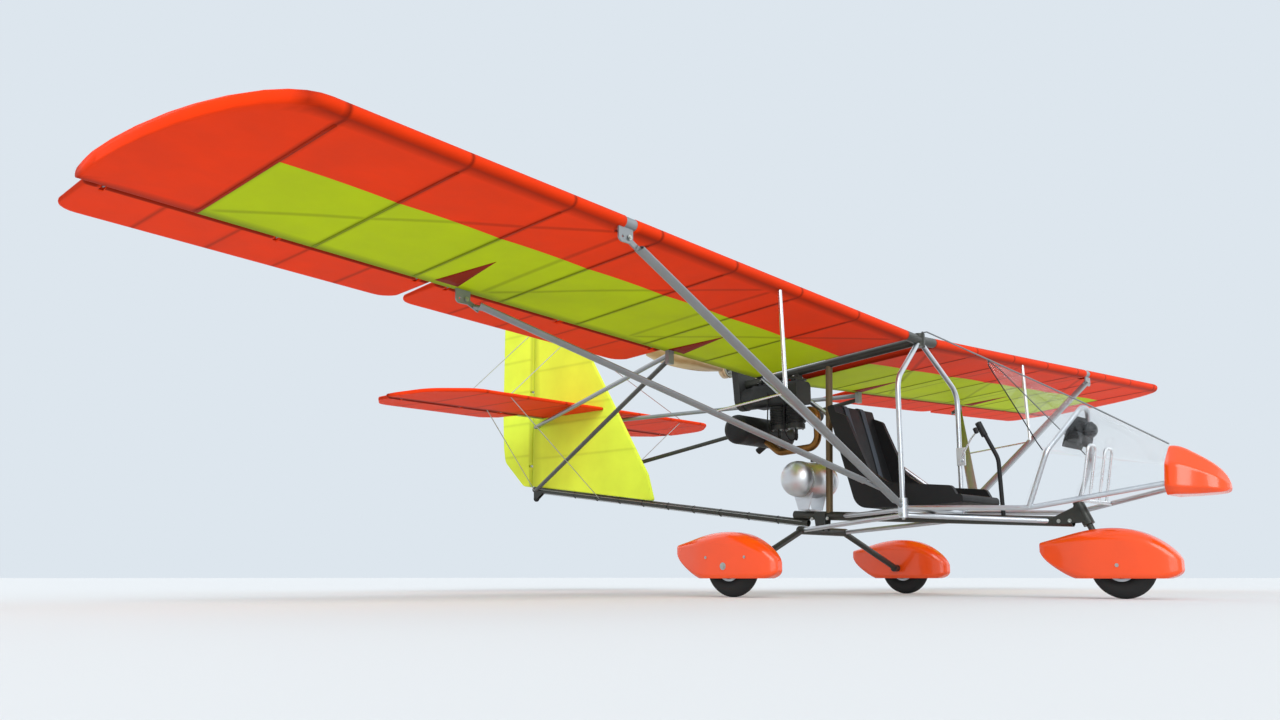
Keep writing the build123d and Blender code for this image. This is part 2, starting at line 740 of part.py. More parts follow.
with BuildPart() as elevator:
    plane = Plane(origin=(elevator_inner, 0, stabiliser_z), x_dir=(0, 1, 0), z_dir=(1, 0, 0))
    chord = elevator_rear_y - stabiliser_axis_y
    extrude(
        surface_section(
            plane, stabiliser_axis_y, surface_nose_radius, chord, surface_edge_radius
        ),
        amount=elevator_outer - elevator_inner,
    )
    with BuildSketch(level) as outline:
        with BuildLine():
            FilletPolyline(
                (elevator_inner, 2000), (elevator_outer, 2000), (elevator_outer, 2180),
                (1210, elevator_rear_y), (340, elevator_rear_y), (elevator_inner, 2260),
                radius=(1, 1, 80, 120, 60, 60), close=True,
            )
        make_face()
    extrude(outline.sketch, amount=60, both=True, mode=Mode.INTERSECT)
    for x in elevator_stations:
        hinge_plane = Plane(origin=(x, 0, stabiliser_z), x_dir=(0, 1, 0), z_dir=(1, 0, 0))
        hinge_notch_and_pin(hinge_plane, stabiliser_axis_y)
    mirror(about=Plane.YZ)
    tube(
        (-elevator_inner - 5, stabiliser_axis_y, stabiliser_z),
        (elevator_inner + 5, stabiliser_axis_y, stabiliser_z), 2 * surface_nose_radius,
    )
save(elevator, "elevator")

stabiliser_under = stabiliser_z - stabiliser_thickness / 2 - stay_diameter
stabiliser_over = stabiliser_z + stabiliser_thickness / 2 + stay_diameter
boom_side_x = boom_diameter / 2 + 4
fin_side_x = fin_thickness / 2 + 4
stays = (  # end on the stabiliser, end on the boom or the fin
    ((570, 2010, stabiliser_under), (boom_side_x, 2128, boom_z(2128))),
    ((820, 1460, stabiliser_under), (boom_side_x, 1465, boom_z(1465))),
    ((820, 2010, stabiliser_over), (fin_side_x, 2060, 1960)),
    ((820, 1460, stabiliser_over), (fin_side_x, 1780, 1800)),
)
with BuildPart() as tail_stays:
    for outer_end, inner_end in stays:
        tube(along(outer_end, inner_end, -0.03), along(outer_end, inner_end, 1.03), stay_diameter)
    with Locations((700, 1735, stabiliser_z)):
        Box(1400, 800, stabiliser_thickness + 2 * seat_gap, mode=Mode.SUBTRACT)
    with Locations((0, 1700, 1500)):
        Box(fin_thickness + 2 * seat_gap, 1200, 1400, mode=Mode.SUBTRACT)
    tube(boom_front_point, boom_rear_point, boom_diameter + 2 * seat_gap, mode=Mode.SUBTRACT)
    mirror(about=Plane.YZ)
save(tail_stays, "tail_stays")

# Tail wheel on its bracket under the rear end of the boom
tail_wheel_y = 2125.0
tail_wheel_z = boom_z(tail_wheel_y) - 62
with BuildPart() as tail_wheel_bracket:
    bracket_plane = Plane(origin=(0, 0, 0), x_dir=(0, 1, 0), z_dir=(1, 0, 0))
    with BuildSketch(bracket_plane) as plate:
        with BuildLine():
            Polyline(
                (2040, boom_z(2040) - 8), (2140, boom_z(2140) - 8), (tail_wheel_y + 12, tail_wheel_z - 8),
                (tail_wheel_y - 12, tail_wheel_z - 8), close=True,
            )
        make_face()
    for inner in (tail_wheel_width / 2 + 1, -tail_wheel_width / 2 - 5):
        extrude(plate.sketch.moved(Location((inner, 0, 0))), amount=4)
    tube(
        (-tail_wheel_width / 2 - 8, tail_wheel_y, tail_wheel_z),
        (tail_wheel_width / 2 + 8, tail_wheel_y, tail_wheel_z), tail_axle_diameter,
    )
    tube(boom_front_point, boom_rear_point, boom_diameter + 2 * seat_gap, mode=Mode.SUBTRACT)
save(tail_wheel_bracket, "tail_wheel_bracket")

tail_wheel_centre = (0, tail_wheel_y, tail_wheel_z)
tail_wheel_half = tail_wheel_width / 2
tail_wheel_bore = tail_axle_diameter / 2 + seat_gap
with BuildPart() as tail_wheel:
    with BuildSketch(Plane(origin=tail_wheel_centre, x_dir=(0, 0, 1), z_dir=(0, 1, 0))) as half_section:
        with BuildLine():
            FilletPolyline(
                (tail_wheel_bore, -tail_wheel_half), (tail_wheel_radius, -tail_wheel_half),
                (tail_wheel_radius, tail_wheel_half), (tail_wheel_bore, tail_wheel_half),
                radius=(0.5, 7, 7, 0.5), close=True,
            )
        make_face()
    revolve(half_section.sketch, axis=Axis(tail_wheel_centre, (1, 0, 0)))
save(tail_wheel, "tail_wheel")

# Windshield arch, the clear hood over it and the nose cone ahead
arch_plane = Plane(
    origin=(0, arch_foot[1], arch_foot[2]), x_dir=(1, 0, 0),
    z_dir=(0, -cos(radians(arch_lean)), -sin(radians(arch_lean))),
)
arch_outline = ((arch_foot[0], 0.0), (arch_shoulder_half, arch_shoulder_rise), (0.0, arch_peak_rise))


def arch_corners(points, lift=0.0):
    """The five corners of a pointed arch from its foot, shoulder and peak."""
    foot, shoulder, peak = points
    low = foot[1] - lift
    return (-foot[0], low), (-shoulder[0], shoulder[1]), peak, shoulder, (foot[0], low)


def grown(points, distance):
    """Foot, shoulder and peak moved outward so that every run shifts by a distance."""
    foot, shoulder, peak = (Vector(*point) for point in points)
    side = (shoulder - foot).normalized()
    roof = (peak - shoulder).normalized()
    foot = foot + Vector(side.Y, -side.X) * distance
    peak = Vector(0, peak.Y + distance / -roof.X)
    apart = peak - foot
    step = (apart.X * roof.Y - apart.Y * roof.X) / (side.X * roof.Y - side.Y * roof.X)
    shoulder = foot + side * step
    return (foot.X, foot.Y), (shoulder.X, shoulder.Y), (0.0, peak.Y)


with BuildPart() as windshield_arch:
    with BuildLine(arch_plane) as path:
        FilletPolyline(
            *arch_corners(arch_outline),
            radius=(arch_shoulder_radius, arch_peak_radius, arch_shoulder_radius),
        )
    with BuildSketch(Plane(origin=path.line @ 0, z_dir=path.line % 0)) as ring:
        Circle(arch_diameter / 2)
        Circle(arch_diameter / 2 - 2, mode=Mode.SUBTRACT)
    sweep(sections=ring.sketch, path=path.line)
    for mirrored in (1, -1):
        rail = [(mirrored * x, y, z) for x, y, z in (corner, arch_foot, rail_front)]
        bent_tube(rail, rail_bend_radius, rail_diameter + 2 * seat_gap, mode=Mode.SUBTRACT)
save(windshield_arch, "windshield_arch")

shield_out = arch_diameter / 2 * 1.13 + seat_gap + shield_wall
front_plane = Plane(origin=(0, shield_front_y, 0), x_dir=(1, 0, 0), z_dir=(0, -1, 0))
front_outline = ((128.0, 505.0), (106.0, 612.0), (0.0, 720.0))
front_radius = 40.0
peak_depth = (arch_plane.origin - Vector(*hood_peak)).dot(arch_plane.z_dir)
rear_plane = arch_plane.offset(-peak_depth - 20)
rear_outline = ((290.0, 0.0), (284.0, 330.0), (0.0, 672.0))


def hood_body(distance, lift):
    """The closed body of the hood, grown by a distance from the arch's centre line."""
    sections = []
    for plane, points, growth, shoulder_radius, peak_radius in (
        (front_plane, front_outline, distance - shield_out, front_radius, front_radius),
        (arch_plane, arch_outline, distance, arch_shoulder_radius, arch_peak_radius),
        (rear_plane, rear_outline, distance, arch_shoulder_radius, arch_peak_radius),
    ):
        with BuildSketch(plane) as section:
            with BuildLine():
                FilletPolyline(
                    *arch_corners(grown(points, growth), lift),
                    radius=(2, shoulder_radius + growth, peak_radius + growth, shoulder_radius + growth, 2),
                    close=True,
                )
            make_face()
        sections.append(section.sketch)
    return sections


with BuildPart() as windshield:
    loft(hood_body(shield_out, 0), ruled=True)
    loft(hood_body(shield_out - shield_wall, 40), ruled=True, mode=Mode.SUBTRACT)
    with BuildSketch(Plane.YZ) as behind:
        with BuildLine():
            back = arch_diameter / 2 + 4
            shoulder_point = arch_plane.from_local_coords((0, arch_shoulder_rise, -back))
            foot_point = arch_plane.from_local_coords((0, -100, -back))
            Polyline(
                (shoulder_point.Y, shoulder_point.Z), (hood_peak[1], hood_peak[2] + 4),
                (hood_peak[1] + 40, hood_peak[2] + 90), (-700, 1500), (-700, 200),
                (foot_point.Y, foot_point.Z), close=True,
            )
        make_face()
    extrude(behind.sketch, amount=500, both=True, mode=Mode.SUBTRACT)
save(windshield, "windshield")

nose_sections = (  # distance ahead of the base, half width, underside height, top height
    (0.3, 128.0, 467.0, 720.0),
    (110.0, 112.0, 468.0, 672.0),
    (175.0, 93.0, 470.0, 622.0),
    (220.0, 65.0, 474.0, 572.0),
    (237.0, 38.0, 481.0, 540.0),
    (244.0, 14.0, 492.0, 515.0),
)


def nose_body(wall):
    """Cross sections of the nose cone, shrunk by a wall."""
    sections = []
    for ahead, half, low, high in nose_sections[: 5 if wall else 6]:
        half, low, high = half - wall, low + wall, high - wall * 1.5
        tall = high - low
        plane = Plane(origin=(0, shield_front_y - ahead, 0), x_dir=(1, 0, 0), z_dir=(0, -1, 0))
        with BuildSketch(plane) as section:
            with BuildLine():
                FilletPolyline(
                    (-half * 0.8, low), (half * 0.8, low), (half, low + tall * 0.15),
                    (half * 0.81, low + tall * 0.573), (0, high), (-half * 0.81, low + tall * 0.573),
                    (-half, low + tall * 0.15),
                    radius=[half * share for share in (0.2, 0.2, 0.12, 0.34, 0.34, 0.34, 0.12)], close=True,
                )
            make_face()
        sections.append(section.sketch)
    return sections


with BuildPart() as nose_cone:
    loft(nose_body(0))
    loft(nose_body(nose_wall), mode=Mode.SUBTRACT)
save(nose_cone, "nose_cone")

# Instrument panel inside the arch
with BuildPart() as instrument_panel:
    panel_plane = arch_plane.offset(-3)
    with BuildSketch(panel_plane) as plate:
        with BuildLine():
            FilletPolyline(
                (-118, 320), (118, 320), (118, 420), (58, 480), (-58, 480), (-118, 420),
                radius=(14, 14, 10, 10, 10, 10), close=True,
            )
        make_face()
    extrude(plate.sketch, amount=6)
    with BuildSketch(panel_plane.offset(6)) as pods:
        with Locations((-62, 375), (62, 375), (0, 430)):
            Circle(33)
    extrude(pods.sketch, amount=48)
    with BuildSketch(panel_plane) as bezels:
        with Locations((-62, 375), (62, 375), (0, 430)):
            Circle(35)
            Circle(29, mode=Mode.SUBTRACT)
    extrude(bezels.sketch, amount=-5)
    with BuildSketch(panel_plane) as arms:
        with Locations((0, 400)):
            Rectangle(460, 16)
    extrude(arms.sketch, amount=4)
    with BuildLine(arch_plane) as arch_line:
        FilletPolyline(
            *arch_corners(arch_outline),
            radius=(arch_shoulder_radius, arch_peak_radius, arch_shoulder_radius),
        )
    with BuildSketch(Plane(origin=arch_line.line @ 0, z_dir=arch_line.line % 0)) as ring:
        Circle(arch_diameter / 2 + seat_gap)
    sweep(sections=ring.sketch, path=arch_line.line, mode=Mode.SUBTRACT)
    with BuildSketch(arch_plane.offset(-60)) as outside:
        Rectangle(1200, 1400)
        with BuildLine():
            FilletPolyline(
                *arch_corners(arch_outline, 30),
                radius=(2, arch_shoulder_radius, arch_peak_radius, arch_shoulder_radius, 2), close=True,
            )
        make_face(mode=Mode.SUBTRACT)
    extrude(outside.sketch, amount=160, mode=Mode.SUBTRACT)
save(instrument_panel, "instrument_panel")

# Rudder pedals on their bar between the rails, and the control stick
pedal_height = 260.0
pedal_tube = 14.0
with BuildPart() as rudder_pedals:
    bar = Vector(*pedal_bar_end)
    tube((-bar.X, bar.Y, bar.Z), bar, 20)
    for mirrored in (1, -1):
        bent_tube(
            (
                (mirrored * 60, bar.Y, bar.Z), (mirrored * 60, bar.Y - 50, bar.Z + pedal_height),
                (mirrored * 150, bar.Y - 50, bar.Z + pedal_height), (mirrored * 150, bar.Y, bar.Z),
            ),
            28, pedal_tube,
        )
        rail = [(mirrored * x, y, z) for x, y, z in (corner, arch_foot, rail_front)]
        bent_tube(rail, rail_bend_radius, rail_diameter + 2 * seat_gap, mode=Mode.SUBTRACT)
save(rudder_pedals, "rudder_pedals")

stick_y = -1440.0
with BuildPart() as control_stick:
    bent_tube(
        ((0, stick_y, keel_z(stick_y)), (0, stick_y + 10, 700), (0, -1345, 870)), 120, 22,
    )
    tube((0, -1363, 825), (0, -1330, 895), 34)
    tube(keel_front, keel_rear, keel_diameter + 2 * seat_gap, mode=Mode.SUBTRACT)
save(control_stick, "control_stick")

# Moulded bucket seat
seat_z = corner_z + crossbar_diameter / 2 + seat_gap
seat_front_y = -1325.0
seat_rear_y = -700.0
seat_top = (-530.0, 1040.0)
with BuildPart() as seat:
    with BuildSketch(Plane.YZ) as shell:
        with BuildLine():
            FilletPolyline(
                (seat_front_y, seat_z + 8), (corner_y - 60, seat_z), (seat_rear_y, seat_z), seat_top,
                (seat_top[0] - 42, seat_top[1] + 12), (seat_rear_y - 38, seat_z + 42),
                (seat_front_y, seat_z + 50),
                radius=(12, 300, 90, 12, 12, 60, 20), close=True,
            )
        make_face()
    extrude(shell.sketch, amount=seat_half_width, both=True)
    with BuildSketch(Plane.YZ) as bolster:
        with BuildLine():
            FilletPolyline(
                (seat_front_y + 20, seat_z + 20), (seat_front_y + 60, seat_z + 95), (-900, seat_z + 130),
                (-790, seat_z + 200), (-650, seat_top[1] - 60), (-575, seat_top[1] - 30),
                (seat_rear_y - 10, seat_z + 20),
                radius=(8, 30, 90, 120, 30, 10, 40), close=True,
            )
        make_face()
    for inner in (seat_half_width - 26, -seat_half_width):
        extrude(bolster.sketch.moved(Location((inner, 0, 0))), amount=26)
save(seat, "seat")

# Polished fuel tank on its cradle behind the mast
tank_centre = (0.0, -262.0, 657.0)
tank_radius = 104.0
tank_half_length = 205.0
tank_end_radius = 46.0
tank_wall = 2.5
with BuildPart() as fuel_tank:
    side_on = Plane(origin=(-tank_half_length, tank_centre[1], tank_centre[2]), z_dir=(1, 0, 0))
    with BuildSketch(side_on) as round_end:
        Circle(tank_radius)
    extrude(round_end.sketch, amount=2 * tank_half_length)
    fillet(fuel_tank.edges().filter_by(GeomType.CIRCLE), radius=tank_end_radius)
    offset(amount=-tank_wall, kind=Kind.INTERSECTION, mode=Mode.SUBTRACT)
    with Locations((60, tank_centre[1], tank_centre[2] + tank_radius + 8)):
        Cylinder(26, 30)
    cradle_z = keel_z(tank_centre[1]) + keel_diameter / 2 + seat_gap + 3
    with Locations((0, tank_centre[1], cradle_z)):
        Box(150, 70, 6)
    for x in (-70, 70):
        with BuildSketch(Plane(origin=(x, 0, 0), x_dir=(0, 1, 0), z_dir=(1, 0, 0))) as leg:
            with BuildLine():
                Polyline(
                    (tank_centre[1] - 35, cradle_z - 3), (tank_centre[1] + 35, cradle_z - 3),
                    (tank_centre[1] + 75, tank_centre[2] - 55), (tank_centre[1] - 75, tank_centre[2] - 55),
                    close=True,
                )
            make_face()
        extrude(leg.sketch, amount=3, both=True)
    tube(keel_front, keel_rear, keel_diameter + 2 * seat_gap, mode=Mode.SUBTRACT)
save(fuel_tank, "fuel_tank")

# Inverted two-cylinder engine hung under the roof beam
exhaust_port_drop = 110.0
exhaust_port_y = engine_front_y - 95
with BuildPart() as engine_block:
    with Locations((0, engine_front_y + engine_length / 2 - 85, engine_axis_z)):
        Box(150, engine_length, 140)
    fillet(engine_block.edges().filter_by(Axis.Y), radius=30)
    with BuildSketch(Plane.XZ.offset(-95)) as drive_end:
        with Locations((0, engine_axis_z)):
            Circle(66)
    extrude(drive_end.sketch, amount=95 + seat_gap - drive_front_y)
    for y in cylinder_ys:
        with Locations((0, y, engine_axis_z - 130)):
            Cylinder(cylinder_radius, 130)
        for fin_number in range(cylinder_fins):
            with Locations((0, y, engine_axis_z - 82 - 10 * fin_number)):
                Cylinder(cylinder_fin_radius, 4)
        with Locations((0, y, engine_axis_z - 198)):
            Cylinder(54, 26)
        with Locations((0, y, engine_axis_z - 226)):
            Cylinder(10, 34)
    for y in engine_mount_ys:
        for x in (-45, 45):
            with Locations((x, y, engine_axis_z + engine_mount_height - 10)):
                Cylinder(14, 20)
    port_z = engine_axis_z - exhaust_port_drop
    tube((0, cylinder_ys[0], port_z), (0, exhaust_port_y, port_z), 52)
save(engine_block, "engine_block")

# Reduction drive, propeller, carburettors and exhaust
drive_depth = 54.0
propeller_shaft = 30.0
with BuildPart() as reduction_drive:
    with BuildSketch(Plane.XZ.offset(-drive_front_y)) as housing:
        with BuildLine():
            low, high, low_radius, high_radius = engine_axis_z, propeller_axis_z, 70.0, 96.0
            lean = (high_radius - low_radius) / (high - low)
            side_x = sqrt(1 - lean**2)
            right_low = (low_radius * side_x, low - low_radius * lean)
            right_high = (high_radius * side_x, high - high_radius * lean)
            Line(right_low, right_high)
            ThreePointArc(right_high, (0, high + high_radius), (-right_high[0], right_high[1]))
            Line((-right_high[0], right_high[1]), (-right_low[0], right_low[1]))
            ThreePointArc((-right_low[0], right_low[1]), (0, low - low_radius), right_low)
        make_face()
    extrude(housing.sketch, amount=-drive_depth)
    fillet(reduction_drive.edges().group_by(Axis.Y)[-1], radius=12)
    hub_middle = (0, drive_front_y + drive_depth / 2 + 10, propeller_axis_z)
    with Locations(Plane(origin=hub_middle, z_dir=(0, 1, 0))):
        Cylinder(propeller_shaft / 2 + seat_gap, drive_depth - 20 + 0.2, mode=Mode.SUBTRACT)
    tube(
        (0, front_spar_y, front_spar_z), (0, beam_rear_y, beam_z(beam_rear_y)),
        beam_diameter + 2 * seat_gap, mode=Mode.SUBTRACT,
    )
save(reduction_drive, "reduction_drive")

blade_sections = (  # distance from the axis, chord, thickness, pitch
    (55.0, 62.0, 34.0, 46.0),
    (150.0, 92.0, 24.0, 40.0),
    (400.0, 112.0, 14.0, 22.0),
    (640.0, 88.0, 9.0, 15.0),
    (propeller_radius, 46.0, 5.0, 12.0),
)
with BuildPart() as propeller:
    hub = (0, propeller_hub_y, propeller_axis_z)
    for mirrored in (1, -1):
        sections = []
        for reach, chord, thick, pitch in blade_sections:
            turn = radians(pitch)
            plane = Plane(
                origin=(mirrored * reach, propeller_hub_y, propeller_axis_z),
                x_dir=(0, sin(turn), mirrored * cos(turn)), z_dir=(mirrored, 0, 0),
            )
            with BuildSketch(plane) as blade:
                with BuildLine():
                    ThreePointArc((-chord / 2, 0), (-chord * 0.1, thick * 0.65), (chord / 2, 0))
                    ThreePointArc((chord / 2, 0), (0, -thick * 0.35), (-chord / 2, 0))
                make_face()
            sections.append(blade.sketch)
        loft(sections)
    with Locations(Plane(origin=hub, z_dir=(0, 1, 0))):
        Cylinder(62, 44)
save(propeller, "propeller")

with BuildPart() as propeller_shaft_piece:
    face_y = propeller_hub_y - 22 - seat_gap
    tube((0, drive_front_y + 22, propeller_axis_z), (0, face_y, propeller_axis_z), propeller_shaft)
    tube((0, face_y - 14, propeller_axis_z), (0, face_y, propeller_axis_z), 110)
    for turn in range(6):
        x = 40 * cos(radians(60 * turn))
        z = propeller_axis_z + 40 * sin(radians(60 * turn))
        tube((x, face_y - 22, z), (x, face_y, z), 14)
save(propeller_shaft_piece, "propeller_shaft")

with BuildPart() as carburettors:
    for y in cylinder_ys:
        tube((58 + seat_gap, y, engine_axis_z - 110), (150, y, engine_axis_z - 110), 38)
        tube((95, y, engine_axis_z - 150), (95, y, engine_axis_z - 85), 46)
        tube((150, y, engine_axis_z - 110), (235, y, engine_axis_z - 110), 84)
save(carburettors, "carburettors")

muffler_centre = (20.0, 104.0, 969.0)
muffler_radius = 88.0
muffler_half_length = 275.0
muffler_end_radius = 52.0
muffler_wall = 2.0
tail_pipe = (190.0, 150.0, 90.0)
with BuildPart() as muffler:
    end = Plane(
        origin=(muffler_centre[0] - muffler_half_length, muffler_centre[1], muffler_centre[2]),
        z_dir=(1, 0, 0),
    )
    with BuildSketch(end) as round_end:
        Circle(muffler_radius)
    extrude(round_end.sketch, amount=2 * muffler_half_length)
    fillet(muffler.edges().filter_by(GeomType.CIRCLE), radius=muffler_end_radius)
    offset(amount=-muffler_wall, kind=Kind.INTERSECTION, mode=Mode.SUBTRACT)
    pipe_x, pipe_aft, pipe_fall = tail_pipe
    pipe_start = along(
        (pipe_x, muffler_centre[1], muffler_centre[2]),
        (pipe_x, muffler_centre[1] + pipe_aft, muffler_centre[2] - pipe_fall), 0.49,
    )
    pipe_end = Vector(pipe_x, muffler_centre[1] + pipe_aft, muffler_centre[2] - pipe_fall)
    tube(pipe_start, pipe_end, 40, 2)
save(muffler, "muffler")

with BuildPart() as exhaust_pipe:
    bent_tube(
        (
            (0, exhaust_port_y - seat_gap, port_z), (0, -322, port_z), (0, -328, 850),
            (0, -50, 836), (0, 70, 930),
        ),
        (50, 70, 60), 44, 2,
    )
    tube(
        (-400, muffler_centre[1], muffler_centre[2]), (400, muffler_centre[1], muffler_centre[2]),
        2 * muffler_radius + 2 * seat_gap, mode=Mode.SUBTRACT,
    )
save(exhaust_pipe, "exhaust_pipe")

# Main undercarriage: cross beam, legs with stub axles, wheels and their fairings
with BuildPart() as gear_beam:
    tube(
        (-gear_beam_x - 25, gear_beam_y, gear_beam_z), (gear_beam_x + 25, gear_beam_y, gear_beam_z),
        gear_beam_diameter,
    )
    plate_x = keel_diameter / 2 + seat_gap
    with BuildSketch(Plane(origin=(plate_x, 0, 0), x_dir=(0, 1, 0), z_dir=(1, 0, 0))) as cheek:
        with BuildLine():
            FilletPolyline(
                (gear_beam_y - 26, gear_beam_z), (gear_beam_y - 40, keel_z(gear_beam_y) + 20),
                (gear_beam_y + 40, keel_z(gear_beam_y) + 20), (gear_beam_y + 26, gear_beam_z),
                radius=(8, 12, 12, 8), close=True,
            )
        make_face()
    extrude(cheek.sketch, amount=6)
    mirror(about=Plane.YZ)
save(gear_beam, "gear_beam")

knuckle = (knuckle_x, main_axle_y, wheel_radius)
with BuildPart() as gear_legs:
    tube((gear_beam_x, gear_beam_y, gear_beam_z), knuckle, gear_leg_diameter)
    tube((724, main_axle_y, wheel_radius), (768, main_axle_y, wheel_radius), 42)
    tube(knuckle, (main_track_half + spat_half_width - 4.6, main_axle_y, wheel_radius), axle_diameter)
    tube(
        (-gear_beam_x - 26, gear_beam_y, gear_beam_z), (gear_beam_x + 26, gear_beam_y, gear_beam_z),
        gear_beam_diameter + 2 * seat_gap, mode=Mode.SUBTRACT,
    )
    mirror(about=Plane.YZ)
save(gear_legs, "gear_legs")

spat_sections = (  # distance behind the nose, top, bottom, half width
    (0.0, 182.0, 128.0, 22.0),
    (18.0, 208.0, 110.0, 40.0),
    (80.0, 262.0, 90.0, 65.0),
    (175.0, 310.0, 80.0, 80.0),
    (295.0, 330.0, 76.0, spat_half_width),
    (440.0, 318.0, 82.0, 77.0),
    (535.0, 297.0, 116.0, 57.0),
    (620.0, 277.0, 170.0, 33.0),
    (664.0, 266.0, 222.0, 14.0),
)
spat_length = spat_sections[-1][0]


def spat_body(wall):
    """Cross sections of a wheel fairing with its nose at Y = 0, shrunk by its wall."""
    sections = []
    for back, top, low, half in spat_sections:
        half, low, top = half - wall, low + wall, top - wall
        plane = Plane(origin=(0, back, 0), x_dir=(1, 0, 0), z_dir=(0, -1, 0))
        with BuildSketch(plane) as section:
            with BuildLine():
                FilletPolyline(
                    (-half, low), (half, low), (half, top), (-half, top),
                    radius=[half * share for share in (0.45, 0.45, 0.75, 0.75)], close=True,
                )
            make_face()
        sections.append(section.sketch)
    return sections


# A hollow wheel fairing, closed at nose and tail and open below where the tyre comes out
with BuildPart() as spat:
    loft(spat_body(0))
    for end, radius in ((0, spat_nose_radius), (-1, spat_tail_radius)):
        fillet(spat.faces().sort_by(Axis.Y)[end].edges(), radius)
    with BuildPart(mode=Mode.PRIVATE) as hollow:
        loft(spat_body(spat_wall))
        with Locations((0, spat_length / 2, wheel_radius)):
            Box(400, spat_length - 2 * spat_nose_radius - 2 * spat_wall, 900, mode=Mode.INTERSECT)
    add(hollow.part, mode=Mode.SUBTRACT)
    with Locations((0, spat_length / 2, spat_opening_z - 50)):
        Box(400, 900, 100, mode=Mode.SUBTRACT)


def place_spat(x, nose_y):
    """Put the wheel fairing over a wheel."""
    add(spat.part.moved(Location((x, nose_y, 0))))


with BuildPart() as main_fairings:
    place_spat(main_track_half, main_axle_y - 294)
    tube(
        (700, main_axle_y, wheel_radius), (main_track_half, main_axle_y, wheel_radius),
        axle_diameter + 2 * seat_gap, mode=Mode.SUBTRACT,
    )
    mirror(about=Plane.YZ)
save(main_fairings, "main_fairings")


def tyre_profile():
    """Half section of a tyre in its own plane, the wheel's axis along X."""
    half = tyre_width / 2
    with BuildSketch(Plane.XY) as section:
        with BuildLine():
            ThreePointArc((34, rim_radius), (half, 116), (27, wheel_radius - 7))
            ThreePointArc((27, wheel_radius - 7), (0, wheel_radius), (-27, wheel_radius - 7))
            ThreePointArc((-27, wheel_radius - 7), (-half, 116), (-34, rim_radius))
            Line((-34, rim_radius), (34, rim_radius))
        make_face()
    return section.sketch


def rim_profile():
    """Half section of a wheel rim with its web and hub."""
    seat = rim_radius - seat_gap
    bore = axle_diameter / 2 + seat_gap
    with BuildSketch(Plane.XY) as section:
        with BuildLine():
            FilletPolyline(
                (-hub_half, bore), (hub_half, bore), (hub_half, 26), (9, 30), (9, seat - 12),
                (36, seat - 12), (36, seat), (-36, seat), (-36, seat - 12), (-9, seat - 12),
                (-9, 30), (-hub_half, 26),
                radius=(0, 0, 0, 8, 8, 0, 0, 0, 0, 8, 8, 0), close=True,
            )
        make_face()
    return section.sketch


wheel_places = (
    ("left", (main_track_half, main_axle_y, wheel_radius)),
    ("right", (-main_track_half, main_axle_y, wheel_radius)),
    ("nose", (0.0, nose_axle_y, wheel_radius)),
)
for name, place in wheel_places:
    for kind, profile in (("tyre", tyre_profile), ("rim", rim_profile)):
        with BuildPart() as piece:
            with BuildSketch(Plane(origin=place, x_dir=(1, 0, 0), z_dir=(0, -1, 0))) as half_section:
                add(profile())
            revolve(half_section.sketch, axis=Axis(place, (1, 0, 0)))
        save(piece, f"{name}_{kind}")

# Steering head on the keel's front end, fork and nose wheel fairing
rake = radians(steering_rake)
steering_down = Vector(0, -sin(rake), -cos(rake))
head_centre = Vector(*steering_top)
with BuildPart() as steering_head:
    tube(head_centre - steering_down * 55, head_centre + steering_down * 55, 56)
    with BuildSketch(Plane(origin=(plate_x, 0, 0), x_dir=(0, 1, 0), z_dir=(1, 0, 0))) as cheek:
        with BuildLine():
            Polyline(
                (keel_front[1] + 90, keel_z(keel_front[1] + 90) - 18),
                (keel_front[1] + 90, keel_z(keel_front[1] + 90) + 18),
                (head_centre.Y + 18, head_centre.Z + 44), (head_centre.Y - 16, head_centre.Z - 36),
                close=True,
            )
        make_face()
    extrude(cheek.sketch, amount=4)
    mirror(about=Plane.YZ)
    tube(
        head_centre - steering_down * 70, head_centre + steering_down * 70, 30 + 2 * seat_gap,
        mode=Mode.SUBTRACT,
    )
    tube(keel_front, keel_rear, keel_diameter + 2 * seat_gap, mode=Mode.SUBTRACT)
    tube(
        Vector(*keel_front) - Vector(0, 6, 0), keel_front, keel_diameter + 2 * seat_gap,
        mode=Mode.SUBTRACT,
    )
save(steering_head, "steering_head")

crown = head_centre + steering_down * ((head_centre.Z - 284) / cos(rake))
fork_inner = 54.0
fork_plate = 7.0
with BuildPart() as nose_fork:
    tube(head_centre - steering_down * 62, crown, 30)
    tube(head_centre - steering_down * 68, head_centre - steering_down * 55.4, 46)
    with Locations(Plane(origin=crown, x_dir=(1, 0, 0), z_dir=steering_down)):
        Box(2 * (fork_inner + fork_plate), 34, 10)
    with BuildSketch(Plane(origin=(fork_inner, 0, 0), x_dir=(0, 1, 0), z_dir=(1, 0, 0))) as leg:
        with BuildLine():
            FilletPolyline(
                (crown.Y - 18, crown.Z - 2), (crown.Y + 16, crown.Z + 6),
                (nose_axle_y + 18, wheel_radius - 14), (nose_axle_y - 16, wheel_radius - 14),
                radius=(4, 4, 12, 12), close=True,
            )
        make_face()
    extrude(leg.sketch, amount=fork_plate)
    mirror(about=Plane.YZ)
    tube(
        (-spat_half_width + spat_wall + 1, nose_axle_y, wheel_radius),
        (spat_half_width - spat_wall - 1, nose_axle_y, wheel_radius), axle_diameter,
    )
save(nose_fork, "nose_fork")

with BuildPart() as nose_fairing:
    place_spat(0, nose_axle_y - 267)
    tube(head_centre, crown, 36, mode=Mode.SUBTRACT)
save(nose_fairing, "nose_fairing")
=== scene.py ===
"""Dresses a strut-braced microlight aircraft: cloth, tubes, hood, engine and wheels round its solid frame."""

from functools import partial
from math import cos, pi, radians, sin, sqrt

import bmesh
import bpy
from bpy.props import FloatProperty, FloatVectorProperty, PointerProperty, StringProperty
from mathutils import Matrix, Vector
from mathutils.bvhtree import BVHTree


